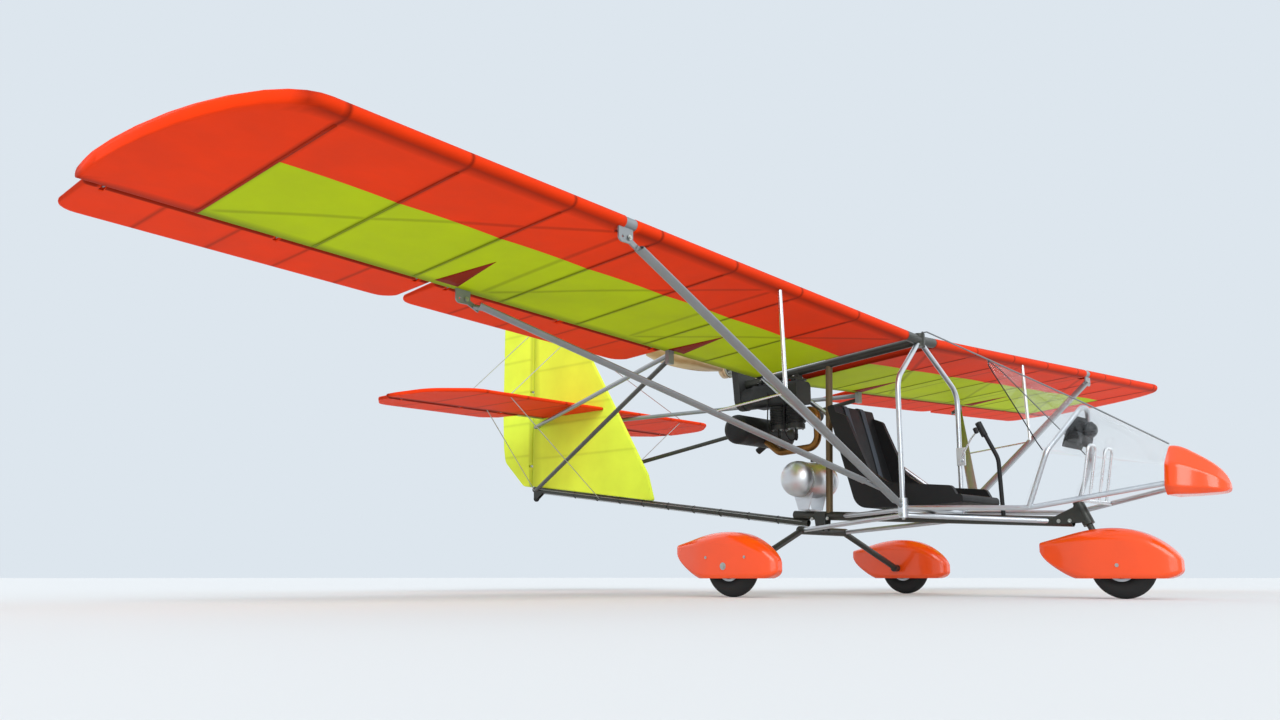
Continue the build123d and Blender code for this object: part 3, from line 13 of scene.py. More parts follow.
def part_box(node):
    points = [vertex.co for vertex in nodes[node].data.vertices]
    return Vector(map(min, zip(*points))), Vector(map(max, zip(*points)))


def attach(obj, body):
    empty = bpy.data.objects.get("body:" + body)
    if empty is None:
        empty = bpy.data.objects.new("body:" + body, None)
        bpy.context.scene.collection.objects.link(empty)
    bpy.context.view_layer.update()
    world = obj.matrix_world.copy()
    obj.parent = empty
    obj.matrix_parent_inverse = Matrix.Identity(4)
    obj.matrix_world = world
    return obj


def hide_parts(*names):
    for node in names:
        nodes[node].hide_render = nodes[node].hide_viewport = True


bl_info = {
    "name": "Microlight Aircraft",
    "version": (1, 0, 0),
    "blender": (4, 5, 0),
    "location": "3D View > Sidebar > Microlight",
    "description": "Cloth, finishes and fittings of a tube and fabric microlight aircraft",
    "category": "Object",
}

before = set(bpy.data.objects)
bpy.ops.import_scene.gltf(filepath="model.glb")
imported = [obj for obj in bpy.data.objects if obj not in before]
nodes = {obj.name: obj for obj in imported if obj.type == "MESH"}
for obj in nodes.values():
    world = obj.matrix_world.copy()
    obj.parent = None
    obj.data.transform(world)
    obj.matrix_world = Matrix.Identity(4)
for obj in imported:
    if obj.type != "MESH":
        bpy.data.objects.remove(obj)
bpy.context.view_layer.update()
# Sign of X and name of the port and the starboard side.
wings = ((1, "left"), (-1, "right"))


# Sizes and colours

def length(name, description, default):
    """The words and default of a length's property."""
    return {"name": name, "description": description, "default": default, "unit": "LENGTH"}


def colour(name, description, default):
    """The words and default of a colour's property."""
    return {"name": name, "description": description, "default": default}


class WingSizes(bpy.types.PropertyGroup):
    """The wing's cloth, stretched between its two spar tubes."""

    nose_y: FloatProperty(**length("Nose Y", "Leading edge at the root", -1.038))
    nose_z: FloatProperty(**length("Nose Z", "Height of the leading edge", 1.385))
    dihedral: FloatProperty(
        name="Dihedral", description="Upward slope of the span", default=radians(3), subtype="ANGLE"
    )
    incidence: FloatProperty(
        name="Incidence", description="Nose-up angle of the chord", default=radians(5.2), subtype="ANGLE"
    )
    chord: FloatProperty(**length("Spar Chord", "Nose to the rear spar's axis", 1.042))
    nose_radius: FloatProperty(**length("Nose Radius", "Front spar with its cloth", 0.027))
    rear_radius: FloatProperty(**length("Rear Radius", "Rear spar with its cloth", 0.022))
    crest: FloatProperty(**length("Rib Height", "Highest point of a rib over the chord", 0.082))
    crest_share: FloatProperty(
        name="Crest Place", description="Share of the chord ahead of the crest", default=0.32
    )
    root: FloatProperty(**length("Root Rib", "Span station of the root rib", 0.150))
    tip: FloatProperty(**length("Tip Rib", "Span station of the last full rib", 3.650))
    bow_start: FloatProperty(**length("Bow Start", "Where the tip bow begins", 3.711))
    bow_end: FloatProperty(**length("Bow End", "End of the tip bow", 4.093))
    bay: FloatProperty(**length("Rib Spacing", "Distance between two ribs", 0.500))
    sag: FloatProperty(**length("Cloth Sag", "How far cloth falls in between ribs", 0.005))
    band: FloatProperty(**length("Band Width", "Chord of the red band behind the nose", 0.450))


class SurfaceSizes(bpy.types.PropertyGroup):
    """Flaps, ailerons and the tail's cloth panels."""

    hinge: FloatProperty(**length("Hinge Chord", "Wing nose to the hinge axis", 1.085))
    nose: FloatProperty(**length("Surface Nose", "Nose radius of a hinged surface", 0.015))
    chord: FloatProperty(**length("Surface Chord", "Hinge axis to the rear edge", 0.305))
    edge: FloatProperty(**length("Edge Radius", "Radius of a surface's rear edge", 0.004))
    corner: FloatProperty(**length("Corner", "Corner radius of a flap or aileron", 0.090))
    tail_half: FloatProperty(**length("Tail Half Thickness", "Half thickness of fin and stabiliser", 0.012))


class Colours(bpy.types.PropertyGroup):
    """The finishes' colours, as sRGB hex values."""

    red_cloth: StringProperty(**colour("Red Cloth", "Wing nose, tips and hinged surfaces", "#F53C08"))
    lime_cloth: StringProperty(**colour("Lime Cloth", "Wing behind the band", "#BED40A"))
    yellow_cloth: StringProperty(**colour("Yellow Cloth", "Fin and rudder", "#E4F94A"))
    tail_cloth: StringProperty(**colour("Tail Cloth", "Stabiliser and elevator", "#EE3C0C"))
    gelcoat: StringProperty(**colour("Gelcoat", "Nose cone and wheel fairings", "#F8500F"))
    bright_tube: StringProperty(**colour("Bright Tube", "Cage and floor rails", "#C6CACE"))
    dark_tube: StringProperty(**colour("Dark Tube", "Keel and tail tubes", "#34362F"))
    strut: StringProperty(**colour("Strut", "Wing struts", "#8E9294"))


class StageSizes(bpy.types.PropertyGroup):
    """Camera, floor and lamps."""

    azimuth: FloatProperty(
        name="Azimuth", description="Camera's bearing round the aircraft", default=radians(-47), subtype="ANGLE"
    )
    distance: FloatProperty(**length("Distance", "Camera to the aimed point", 6.6))
    eye: FloatProperty(**length("Eye Height", "Camera height over the floor", 0.10))
    aim: FloatVectorProperty(
        name="Aim", description="Point in the middle of the picture", default=(-0.65, 0.49, 1.38), subtype="XYZ"
    )
    lens: FloatProperty(name="Lens", description="Focal length in millimetres", default=31.5)
    floor: FloatProperty(**length("Floor", "Side of the floor", 300.0))


def sizes():
    """The sizes of the wing and of the other cloth surfaces."""
    return bpy.context.scene.microlight_wing, bpy.context.scene.microlight_surfaces


# Materials

def linear(hex_colour):
    """An sRGB hex value as linear red, green, blue and alpha."""
    parts = [int(hex_colour[place:place + 2], 16) / 255 for place in (1, 3, 5)]
    return (*(part / 12.92 if part <= 0.04045 else ((part + 0.055) / 1.055) ** 2.4 for part in parts), 1.0)


def feed(tree, node, inputs):
    """Sets a node's inputs, given by name or number, or links them to outputs or to a node's main output."""
    for key, value in inputs.items():
        if isinstance(value, bpy.types.Node):
            value = next(output for output in value.outputs if output.enabled)
        if isinstance(value, bpy.types.NodeSocket):
            tree.links.new(value, node.inputs[key])
        else:
            node.inputs[key].default_value = value


def add_node(tree, kind, inputs=None, **settings):
    """Adds a node with its settings and inputs."""
    node = tree.nodes.new(kind)
    for key, value in settings.items():
        setattr(node, key, value)
    feed(tree, node, inputs or {})
    return node


def new_material(name, **surface):
    """A node material with its principled surface; the keywords set that surface's sockets."""
    material = bpy.data.materials.new(name)
    material.use_nodes = True
    tree = material.node_tree
    tree.nodes.clear()
    inputs = {key.replace("_", " "): value for key, value in surface.items()}
    shader = add_node(tree, "ShaderNodeBsdfPrincipled", inputs)
    add_node(tree, "ShaderNodeOutputMaterial", {"Surface": shader})
    return material, tree, shader


def millimetres(size):
    """The scale that gives a texture a feature of this many millimetres."""
    return 1000.0 / size


def mottled(tree, base, spread, size):
    """A colour that wanders a little about its base, over patches of a size in millimetres, and the patches."""
    patches = {"Scale": millimetres(size), "Detail": 4.0, "Roughness": 0.55}
    place = add_node(tree, "ShaderNodeTexCoord").outputs["Object"]
    noise = add_node(tree, "ShaderNodeTexNoise", {"Vector": place, **patches})
    spans = {"From Min": 0.3, "From Max": 0.7, "To Min": 1 - spread, "To Max": 1 + spread}
    amount = add_node(tree, "ShaderNodeMapRange", {"Value": noise, **spans})
    return add_node(tree, "ShaderNodeVectorMath", {0: base[:3], "Scale": amount}, operation="SCALE"), noise


def grained(name, hex_colour, spread, patch, grain, relief, rough, kind="ShaderNodeTexNoise", lines=0.0, **surface):
    """A finish whose colour and gloss wander over patches, with a fine grain as relief.

    spread and patch are the patches' strength and their size in millimetres, grain is the input of the grain's
    texture, relief the strength and distance of its bump, rough the least and most roughness, and lines says how
    much the grain counts in it.
    """
    material, tree, shader = new_material(name, **surface)
    tint, patches = mottled(tree, linear(hex_colour), spread, patch)
    place = add_node(tree, "ShaderNodeTexCoord").outputs["Object"]
    texture = add_node(tree, kind, {"Vector": place, **grain})
    bump = add_node(tree, "ShaderNodeBump", {"Height": texture, "Strength": relief[0], "Distance": relief[1]})
    spans = {"To Min": rough[0], "To Max": rough[1]}
    if lines:
        patches = add_node(tree, "ShaderNodeMath", {0: texture, 1: lines, 2: patches}, operation="MULTIPLY_ADD")
        spans.update({"From Min": 0.5, "From Max": 1.1})
    gloss = add_node(tree, "ShaderNodeMapRange", {"Value": patches, **spans})
    feed(tree, shader, {"Base Color": tint, "Normal": bump, "Roughness": gloss})
    return material


# Compression tubes and diagonals inside the wing: station and chord place of both ends.
inner_tubes = (
    ((2.300, 0.05), (2.300, 1.02)), ((1.310, 0.05), (1.310, 1.02)),
    ((3.640, 1.00), (2.340, 0.06)), ((2.300, 1.00), (1.340, 0.06)), ((1.310, 1.00), (0.200, 0.06)),
)
inner_tube_half = 0.005
inner_tube_fade = 0.020
inner_tube_end = 0.05
inner_tube_dark = 0.4


def inner_tube_shade(tree):
    """Soft dark lines over the wing's inner tubes, which show through its cloth."""
    place = add_node(tree, "ShaderNodeTexCoord").outputs["Object"]
    parts = add_node(tree, "ShaderNodeSeparateXYZ", {"Vector": place})
    across = add_node(tree, "ShaderNodeMath", {0: parts.outputs["X"]}, operation="ABSOLUTE")
    flat = add_node(tree, "ShaderNodeCombineXYZ", {"X": across, "Y": parts.outputs["Y"]})
    lines = []
    for first, last in inner_tubes:
        start, end = wing_point(*first, 0.0), wing_point(*last, 0.0)
        start.z = end.z = 0.0
        along = (end - start).normalized()
        half = (end - start).length / 2
        reach = add_node(tree, "ShaderNodeVectorMath", {0: flat, 1: (start + end) / 2}, operation="SUBTRACT")
        fades = []
        for direction, near, far in (
            (Vector((-along.y, along.x, 0)), inner_tube_half, inner_tube_fade),
            (along, half - inner_tube_end, half),
        ):
            away = add_node(tree, "ShaderNodeVectorMath", {0: reach, 1: direction}, operation="DOT_PRODUCT")
            away = add_node(tree, "ShaderNodeMath", {0: away}, operation="ABSOLUTE")
            spans = {"From Min": near, "From Max": far, "To Min": 1.0, "To Max": 0.0}
            fades.append(add_node(tree, "ShaderNodeMapRange", {"Value": away, **spans}))
        lines.append(add_node(tree, "ShaderNodeMath", dict(enumerate(fades)), operation="MULTIPLY"))
    total = lines[0]
    for line in lines[1:]:
        total = add_node(tree, "ShaderNodeMath", {0: line, 1: total}, operation="MAXIMUM")
    return add_node(tree, "ShaderNodeMath", {0: total, 1: inner_tube_dark}, operation="MULTIPLY")


def sailcloth(name, hex_colour, darkest=0.32, tubes=False):
    """Coated polyester sailcloth, heat-shrunk: even colour, a soft sheen, ribs showing through as shade."""
    material, tree, shader = new_material(
        name, IOR=1.45, Specular_IOR_Level=0.10, Sheen_Weight=0.01, Sheen_Roughness=0.4
    )
    tint, patches = mottled(tree, linear(hex_colour), 0.06, 260)
    shade = add_node(tree, "ShaderNodeAttribute", attribute_name="rib_shade").outputs["Fac"]
    if tubes:
        shade = add_node(tree, "ShaderNodeMath", {0: shade, 1: inner_tube_shade(tree)}, operation="MAXIMUM")
    dark = add_node(tree, "ShaderNodeMapRange", {"Value": shade, "To Min": 1.0, "To Max": darkest})
    seen = add_node(tree, "ShaderNodeVectorMath", {0: tint, "Scale": dark}, operation="SCALE")
    # Threads are 0.4 mm apart, too fine to show, so they are drawn at 3 mm.
    place = add_node(tree, "ShaderNodeTexCoord").outputs["Object"]
    weave = add_node(tree, "ShaderNodeTexVoronoi", {"Vector": place, "Scale": millimetres(3), "Randomness": 0.25})
    creases = add_node(tree, "ShaderNodeTexNoise", {"Vector": place, "Scale": millimetres(180), "Detail": 3.0})
    height = add_node(tree, "ShaderNodeMath", {0: weave, 1: 0.06, 2: creases}, operation="MULTIPLY_ADD")
    bump = add_node(tree, "ShaderNodeBump", {"Height": height, "Strength": 0.22, "Distance": 0.01})
    rough = add_node(tree, "ShaderNodeMapRange", {"Value": patches, "To Min": 0.56, "To Max": 0.72})
    feed(tree, shader, {"Base Color": seen, "Normal": bump, "Roughness": rough})
    return material


def metal(name, hex_colour, roughness, grain=9.0, metallic=1.0, coat=0.0, wear=0.05):
    """Metal with fine lines from drawing or brushing and a few duller patches from handling."""
    return grained(
        name, hex_colour, wear, 70, {"Scale": millimetres(grain), "Detail": 8.0, "Roughness": 0.7}, (0.05, 0.001),
        (roughness * 0.75, min(1.0, roughness * 1.3)), lines=0.6, Metallic=metallic, Coat_Weight=coat,
    )


def gelcoat(name, hex_colour):
    """Gelcoat on a glass fibre moulding, polished: deep gloss over a faint orange-peel surface."""
    return grained(
        name, hex_colour, 0.03, 160, {"Scale": millimetres(4), "Detail": 1.0}, (0.03, 0.001), (0.18, 0.30),
        IOR=1.48, Coat_Weight=0.4, Coat_Roughness=0.05,
    )


def moulded_plastic(name, hex_colour, roughness=0.55, grit=1.6, gloss=0.5):
    """Injection-moulded plastic: a fine spark-eroded grain that breaks up its highlights."""
    return grained(
        name, hex_colour, 0.08, 45, {"Scale": millimetres(grit)}, (0.12, 0.001),
        (roughness * 0.85, min(1.0, roughness * 1.18)), "ShaderNodeTexVoronoi", IOR=1.49, Specular_IOR_Level=gloss,
    )


def tyre_rubber():
    """Moulded tyre rubber: dull black with dust in its grain."""
    return grained(
        "moulded_tyre_rubber", "#1A1A1A", 0.25, 30, {"Scale": millimetres(6), "Detail": 5.0}, (0.15, 0.002),
        (0.75, 0.95), IOR=1.52,
    )


def clear_sheet():
    """Formed polycarbonate sheet: clear, glossy and thin, with the faint haze of fine scratches."""
    material, tree, shader = new_material(
        "formed_polycarbonate_sheet", Base_Color=linear("#F4F8F8"), IOR=1.4, Transmission_Weight=1.0, Alpha=0.08,
    )
    place = add_node(tree, "ShaderNodeTexCoord").outputs["Object"]
    haze = add_node(tree, "ShaderNodeTexNoise", {"Vector": place, "Scale": millimetres(120), "Detail": 6.0})
    rough = add_node(tree, "ShaderNodeMapRange", {"Value": haze, "To Min": 0.01, "To Max": 0.04})
    feed(tree, shader, {"Roughness": rough})
    return material


def laminated_wood():
    """Varnished laminated beech: pale layers 6 mm thick with fine grain along the blade."""
    material, tree, shader = new_material("varnished_laminated_beech", Roughness=0.3, IOR=1.5, Coat_Weight=0.5)
    place = add_node(tree, "ShaderNodeTexCoord").outputs["Object"]
    # A wave texture's bands come 20 to the unit of its scale.
    layers = add_node(
        tree, "ShaderNodeTexWave",
        {"Vector": place, "Scale": millimetres(6) / 20, "Distortion": 1.2, "Detail": 2.0}, bands_direction="Y",
    )
    stretch = add_node(tree, "ShaderNodeMapping", {"Vector": place, "Scale": (0.06, 1.0, 1.0)})
    grain = add_node(tree, "ShaderNodeTexNoise", {"Vector": stretch, "Scale": millimetres(3), "Detail": 5.0})
    heights = {0: grain, 1: 0.6, 2: layers.outputs["Fac"]}
    both = add_node(tree, "ShaderNodeMath", heights, operation="MULTIPLY_ADD")
    ramp = add_node(tree, "ShaderNodeValToRGB", {"Fac": both})
    for stop, position, hex_colour in zip(ramp.color_ramp.elements, (0.25, 1.0), ("#A9865A", "#D8C09A")):
        stop.position = position
        stop.color = linear(hex_colour)
    bump = add_node(tree, "ShaderNodeBump", {"Height": grain, "Strength": 0.05, "Distance": 0.001})
    feed(tree, shader, {"Base Color": ramp, "Normal": bump})
    return material


made_finishes = {}


def finishes():
    """Every finish of the aircraft by its short name, made once."""
    if not made_finishes:
        hexes = bpy.context.scene.microlight_colours
        made_finishes.update(
            red=sailcloth("red_coated_sailcloth", hexes.red_cloth, tubes=True),
            lime=sailcloth("lime_coated_sailcloth", hexes.lime_cloth, tubes=True),
            yellow=sailcloth("yellow_coated_sailcloth", hexes.yellow_cloth, darkest=0.72),
            tail=sailcloth("tail_coated_sailcloth", hexes.tail_cloth),
            # The darts are a real double layer of cloth; their darker red is painted shade, for the lesser light
            # that comes through two layers.
            dart=sailcloth("red_double_sailcloth_painted_shade", "#8A2208"),
            gelcoat=gelcoat("polished_orange_gelcoat", hexes.gelcoat),
            bright=metal("drawn_bright_tube", hexes.bright_tube, 0.36),
            dark=metal("dark_painted_tube", hexes.dark_tube, 0.42, metallic=0.35, coat=0.2, wear=0.15),
            strut=metal("painted_strut_tube", hexes.strut, 0.38, metallic=0.6, wear=0.06),
            silver=metal("silver_jury_tube", "#E3E5E7", 0.28),
            steel=metal("zinc_plated_steel", "#B9BBB6", 0.34),
            dark_steel=metal("dark_painted_steel", "#2F312C", 0.45, metallic=0.3, coat=0.15, wear=0.2),
            tank=metal("spun_sheet_aluminium", "#D5D8DB", 0.40, grain=22),
            bronze=metal("bronze_painted_tube", "#6E5D42", 0.5, metallic=0.5, wear=0.1),
            cast=metal("sand_cast_alloy", "#3A3B3A", 0.55, grain=3, metallic=0.6, wear=0.25),
            soot=metal("heat_resistant_black_paint", "#161616", 0.6, metallic=0.2, wear=0.3),
            header=metal("heat_tinted_steel", "#8A6234", 0.42, wear=0.3),
            black=moulded_plastic("black_moulded_plastic", "#161718", gloss=0.3),
            gloss=moulded_plastic("glossy_black_plastic", "#060708", 0.16, gloss=0.3),
            webbing=moulded_plastic("woven_polyester_webbing", "#3B434B", 0.8, 2.5),
            dial=moulded_plastic("printed_dial_face", "#101214", 0.35),
            mark=moulded_plastic("white_dial_print", "#EDEDE8", 0.45),
            rubber=tyre_rubber(),
            hood=clear_sheet(),
            wood=laminated_wood(),
        )
    return made_finishes


def finish_nodes(finish, *names):
    """Gives CAD nodes one finish."""
    for name in names:
        materials = nodes[name].data.materials
        materials.clear()
        materials.append(finishes()[finish])


# Mesh helpers

def mesh_from(form, name):
    """Turns a bmesh into a mesh."""
    mesh = bpy.data.meshes.new(name)
    form.to_mesh(mesh)
    form.free()
    return mesh


def new_object(name, data):
    """An object in the scene."""
    item = bpy.data.objects.new(name, data)
    bpy.context.scene.collection.objects.link(item)
    return item


def smooth_piece(form, name, body, slot, *finish_names):
    """Turns a bmesh into a smooth piece that rides on a body; the slot argument is not used."""
    mesh = mesh_from(form, name)
    for finish in finish_names:
        mesh.materials.append(finishes()[finish])
    mesh.shade_smooth()
    piece = new_object(name, mesh)
    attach(piece, body)
    return piece


def piece_from(form, name, body, slot, finish, bevel=0.0):
    """Turns a bmesh into a piece whose shading keeps its sharp edges."""
    bmesh.ops.recalc_face_normals(form, faces=form.faces)
    piece = smooth_piece(form, name, body, slot, finish)
    if bevel:
        modifier = piece.modifiers.new("edges", "BEVEL")
        modifier.width = bevel
        modifier.segments = 2
        modifier.limit_method = "ANGLE"
    with bpy.context.temp_override(object=piece, active_object=piece, selected_editable_objects=[piece]):
        bpy.ops.object.shade_smooth_by_angle(angle=radians(35))
    return piece


def circle(count, start=0.0):
    """Cosine and sine of evenly spaced angles round a circle."""
    return [(cos(start + 2 * pi * turn / count), sin(start + 2 * pi * turn / count)) for turn in range(count)]


def ring_frame(direction):
    """Two unit vectors square to a direction."""
    direction = Vector(direction).normalized()
    other = Vector((0, 0, 1)) if abs(direction.z) < 0.9 else Vector((1, 0, 0))
    first = direction.cross(other).normalized()
    return first, direction.cross(first).normalized()


def join_rings(form, rings):
    """Joins closed rings of vertices by faces."""
    for low, high in zip(rings, rings[1:]):
        for turn in range(len(low)):
            form.faces.new((low[turn], low[turn - 1], high[turn - 1], high[turn]))


def join_rows(form, rows):
    """Joins open rows of vertices by faces, and gives them row by row."""
    return [
        [form.faces.new((low[step], low[step + 1], high[step + 1], high[step])) for step in range(len(low) - 1)]
        for low, high in zip(rows, rows[1:])
    ]


def add_tube(form, points, radius, sides=12):
    """Adds a round tube with closed ends along a line of points to a bmesh."""
    points = [Vector(point) for point in points]
    rings = []
    first, second = ring_frame(points[1] - points[0])
    for place, point in enumerate(points):
        ahead = points[min(place + 1, len(points) - 1)] - points[max(place - 1, 0)]
        ahead.normalize()
        first = (first - ahead * first.dot(ahead)).normalized()
        second = ahead.cross(first)
        rings.append([form.verts.new(point + (first * x + second * y) * radius) for x, y in circle(sides)])
    join_rings(form, rings)
    form.faces.new(rings[0])
    form.faces.new(reversed(rings[-1]))


def add_prism(form, centre, axis, radius, height, sides):
    """Adds a hexagon head or a disc to a bmesh, from its foot along an axis."""
    centre, axis = Vector(centre), Vector(axis).normalized()
    add_tube(form, [centre, centre + axis * height], radius, sides)


def add_ring(form, centre, axis, radius, thickness, turns, sides):
    """Adds a torus to a bmesh."""
    centre, axis = Vector(centre), Vector(axis).normalized()
    first, second = ring_frame(axis)
    rings = []
    for x, y in circle(turns):
        out = first * x + second * y
        rings.append([
            form.verts.new(centre + out * (radius + thickness * across) + axis * thickness * along)
            for across, along in circle(sides)
        ])
    join_rings(form, rings + rings[:1])


def add_turned(form, centre, profile, sides):
    """Adds a form turned about the X direction from places and radii, its two ends running to points."""
    rings = [
        [form.verts.new(centre + Vector((x, radius * side_on, radius * up))) for side_on, up in circle(sides)]
        for x, radius in profile[1:-1]
    ]
    join_rings(form, rings)
    for ring, place in ((rings[0], profile[0]), (rings[-1], profile[-1])):
        tip = form.verts.new(centre + Vector((place[0], 0, 0)))
        for turn in range(sides):
            form.faces.new((ring[turn], ring[turn - 1], tip))


def add_plate(form, outline, across):
    """Adds a flat plate with this outline, reaching to both sides by a vector."""
    low, high = ([form.verts.new(Vector(point) + across * side) for point in outline] for side in (-1, 1))
    join_rings(form, [low, high])
    form.faces.new(low)
    form.faces.new(reversed(high))


def add_box(form, centre, size):
    """Adds a box that a bevel rounds later."""
    place = Matrix.LocRotScale(Vector(centre), None, Vector(size))
    bmesh.ops.create_cube(form, size=1.0, matrix=place)


def add_bolt(form, centre, axis, across, head):
    """Adds a washer and a hexagon head on a surface."""
    add_prism(form, centre, axis, across * 0.95, head * 0.35, 20)
    add_prism(form, Vector(centre) + Vector(axis).normalized() * head * 0.35, axis, across * 0.55, head, 6)


def make_bolts(name, body, slot, *bolts):
    """Makes a piece of steel bolt heads; each bolt is its foot, axis, width and height."""
    form = bmesh.new()
    for bolt in bolts:
        add_bolt(form, *bolt)
    return piece_from(form, name, body, slot, "steel")


def both_sides(*bolts):
    """Bolts of the port side with their mirror images."""
    return [
        ((x * side, y, z), (out * side, back, up), across, head)
        for side, _ in wings for (x, y, z), (out, back, up), across, head in bolts
    ]


line_steps = 6


def smooth_line(points):
    """A smooth line through the given points, as a curve through them."""
    points = [Vector(point) for point in points]
    line = []
    for place in range(len(points) - 1):
        before = points[max(place - 1, 0)]
        start, end = points[place], points[place + 1]
        after = points[min(place + 2, len(points) - 1)]
        for step in range(line_steps):
            share = step / line_steps
            line.append(0.5 * (
                2 * start + (end - before) * share + (2 * before - 5 * start + 4 * end - after) * share ** 2
                + (3 * start - before - 3 * end + after) * share ** 3
            ))
    return line + points[-1:]


def cut_from(piece, cutter):
    """Cuts a bmesh's solids out of a piece."""
    bmesh.ops.recalc_face_normals(cutter, faces=cutter.faces)
    tool = new_object("cutter", mesh_from(cutter, "cutter"))
    modifier = piece.modifiers.new("cut", "BOOLEAN")
    modifier.operation = "DIFFERENCE"
    modifier.solver = "EXACT"
    modifier.object = tool
    bpy.context.view_layer.update()
    shape = bpy.data.meshes.new_from_object(piece.evaluated_get(bpy.context.evaluated_depsgraph_get()))
    piece.modifiers.clear()
    piece.data = shape
    bpy.data.objects.remove(tool)


# Wing geometry

tip_nose_radius = 0.018
tip_crest = 0.026
nose_steps, band_steps, rear_steps, edge_steps, bay_steps = 5, 7, 10, 6, 12
rib_edges = (0.012, 0.024)
bow_shares = (0.1, 0.2, 0.32, 0.45, 0.58, 0.71, 0.8, 0.89, 0.95, 0.985)
rib_shade_width = 0.016
spar_shade_width = 0.035
spar_shade = 0.8


def wing_axes():
    """Origin, chord, up and span directions of the port wing."""
    wing, _ = sizes()
    span = Vector((cos(wing.dihedral), 0, sin(wing.dihedral)))
    chord = Vector((0, cos(wing.incidence), -sin(wing.incidence)))
    chord = (chord - span * chord.dot(span)).normalized()
    return Vector((0, wing.nose_y, wing.nose_z)), chord, span.cross(chord), span


def wing_point(station, aft, up, side=1):
    """A point of the port wing, or of the starboard one for side -1."""
    origin, chord, high, span = wing_axes()
    point = origin + chord * aft + high * up + span * station
    return Vector((point.x * side, point.y, point.z))


def rib_places():
    """Span stations of the ribs."""
    wing, _ = sizes()
    count = round((wing.tip - wing.root) / wing.bay)
    return [wing.root + (wing.tip - wing.root) * number / count for number in range(count + 1)]


def bay_fall(station, ribs):
    """How far cloth has fallen in at a station, from 0 on a rib to 1 in the middle of a bay."""
    for low, high in zip(ribs, ribs[1:]):
        if low <= station <= high:
            return sin(pi * (station - low) / (high - low)) ** 0.7
    return 0.0


def rib_shade_at(station, ribs):
    """1 on a rib, falling to 0 beside it."""
    return max(0.0, 1 - min(abs(station - rib) for rib in ribs) / rib_shade_width)


def wing_outline(station):
    """Front, nose radius and crest height of the wing's section at a station."""
    wing, _ = sizes()
    if station <= wing.tip:
        return 0.0, wing.nose_radius, wing.crest
    share = max(0.0, (station - wing.bow_start) / (wing.bow_end - wing.bow_start))
    fall = sqrt(max(0.0, 1 - share ** 2))
    return (
        wing.chord * (1 - fall), tip_nose_radius + (wing.nose_radius - tip_nose_radius) * fall,
        tip_crest + (wing.crest - tip_crest) * fall,
    )


def wing_height(station, aft, upper, ribs):
    """Height of the cloth over the chord line, on the upper or the lower side."""
    wing, _ = sizes()
    front, nose, crest = wing_outline(station)
    crest_x = front + wing.crest_share * (wing.chord - front)
    nose_x = front + nose
    share = min(1.0, max(0.0, (aft - nose_x) / (wing.chord - nose_x)))
    fall = wing.sag * bay_fall(station, ribs) * sin(pi * share)
    if aft <= nose_x:
        height = sqrt(max(0.0, nose ** 2 - (nose_x - aft) ** 2))
        return height if upper else -height
    if not upper:
        return -nose + (nose - wing.rear_radius) * share + fall
    if aft >= crest_x:
        reach, drop = wing.chord - crest_x, crest - wing.rear_radius
        radius = (reach ** 2 + drop ** 2) / (2 * drop)
        return crest - radius + sqrt(radius ** 2 - (aft - crest_x) ** 2) - fall
    reach = crest_x - nose_x
    radius = (reach ** 2 + crest ** 2 - nose ** 2) / (2 * (crest - nose))
    arc = crest - radius + sqrt(max(0.0, radius ** 2 - (aft - crest_x) ** 2))
    return max(arc, nose * sqrt(max(0.0, 1 - ((aft - nose_x) / nose) ** 2)) if aft < nose_x + nose else 0.0) - fall


def wing_chord_places(station):
    """Chord places of the cloth's grid, close together round the nose and at the colour band's edge."""
    wing, _ = sizes()
    front, nose, _ = wing_outline(station)
    band = front + (wing.chord - front) * wing.band / wing.chord
    places = [front + nose * (1 - cos(pi / 2 * step / nose_steps)) for step in range(nose_steps + 1)]
    places += [front + nose + (band - front - nose) * step / band_steps for step in range(1, band_steps + 1)]
    return places + [band + (wing.chord - band) * step / rear_steps for step in range(1, rear_steps + 1)]


def wing_stations():
    """Span stations of the cloth's grid: rib edges, bay steps and the tip bow."""
    wing, _ = sizes()
    ribs = rib_places()
    marks = set()
    for low, high in zip(ribs, ribs[1:]):
        marks.update(low + (high - low) * step / bay_steps for step in range(bay_steps + 1))
        marks.update(mark for reach in rib_edges for mark in (low + reach, high - reach))
    marks.update((wing.root, wing.tip, wing.tip + rib_edges[-1], wing.bow_start))
    marks.update(wing.bow_start + share * (wing.bow_end - wing.bow_start) for share in bow_shares)
    return sorted(round(mark, 6) for mark in marks)


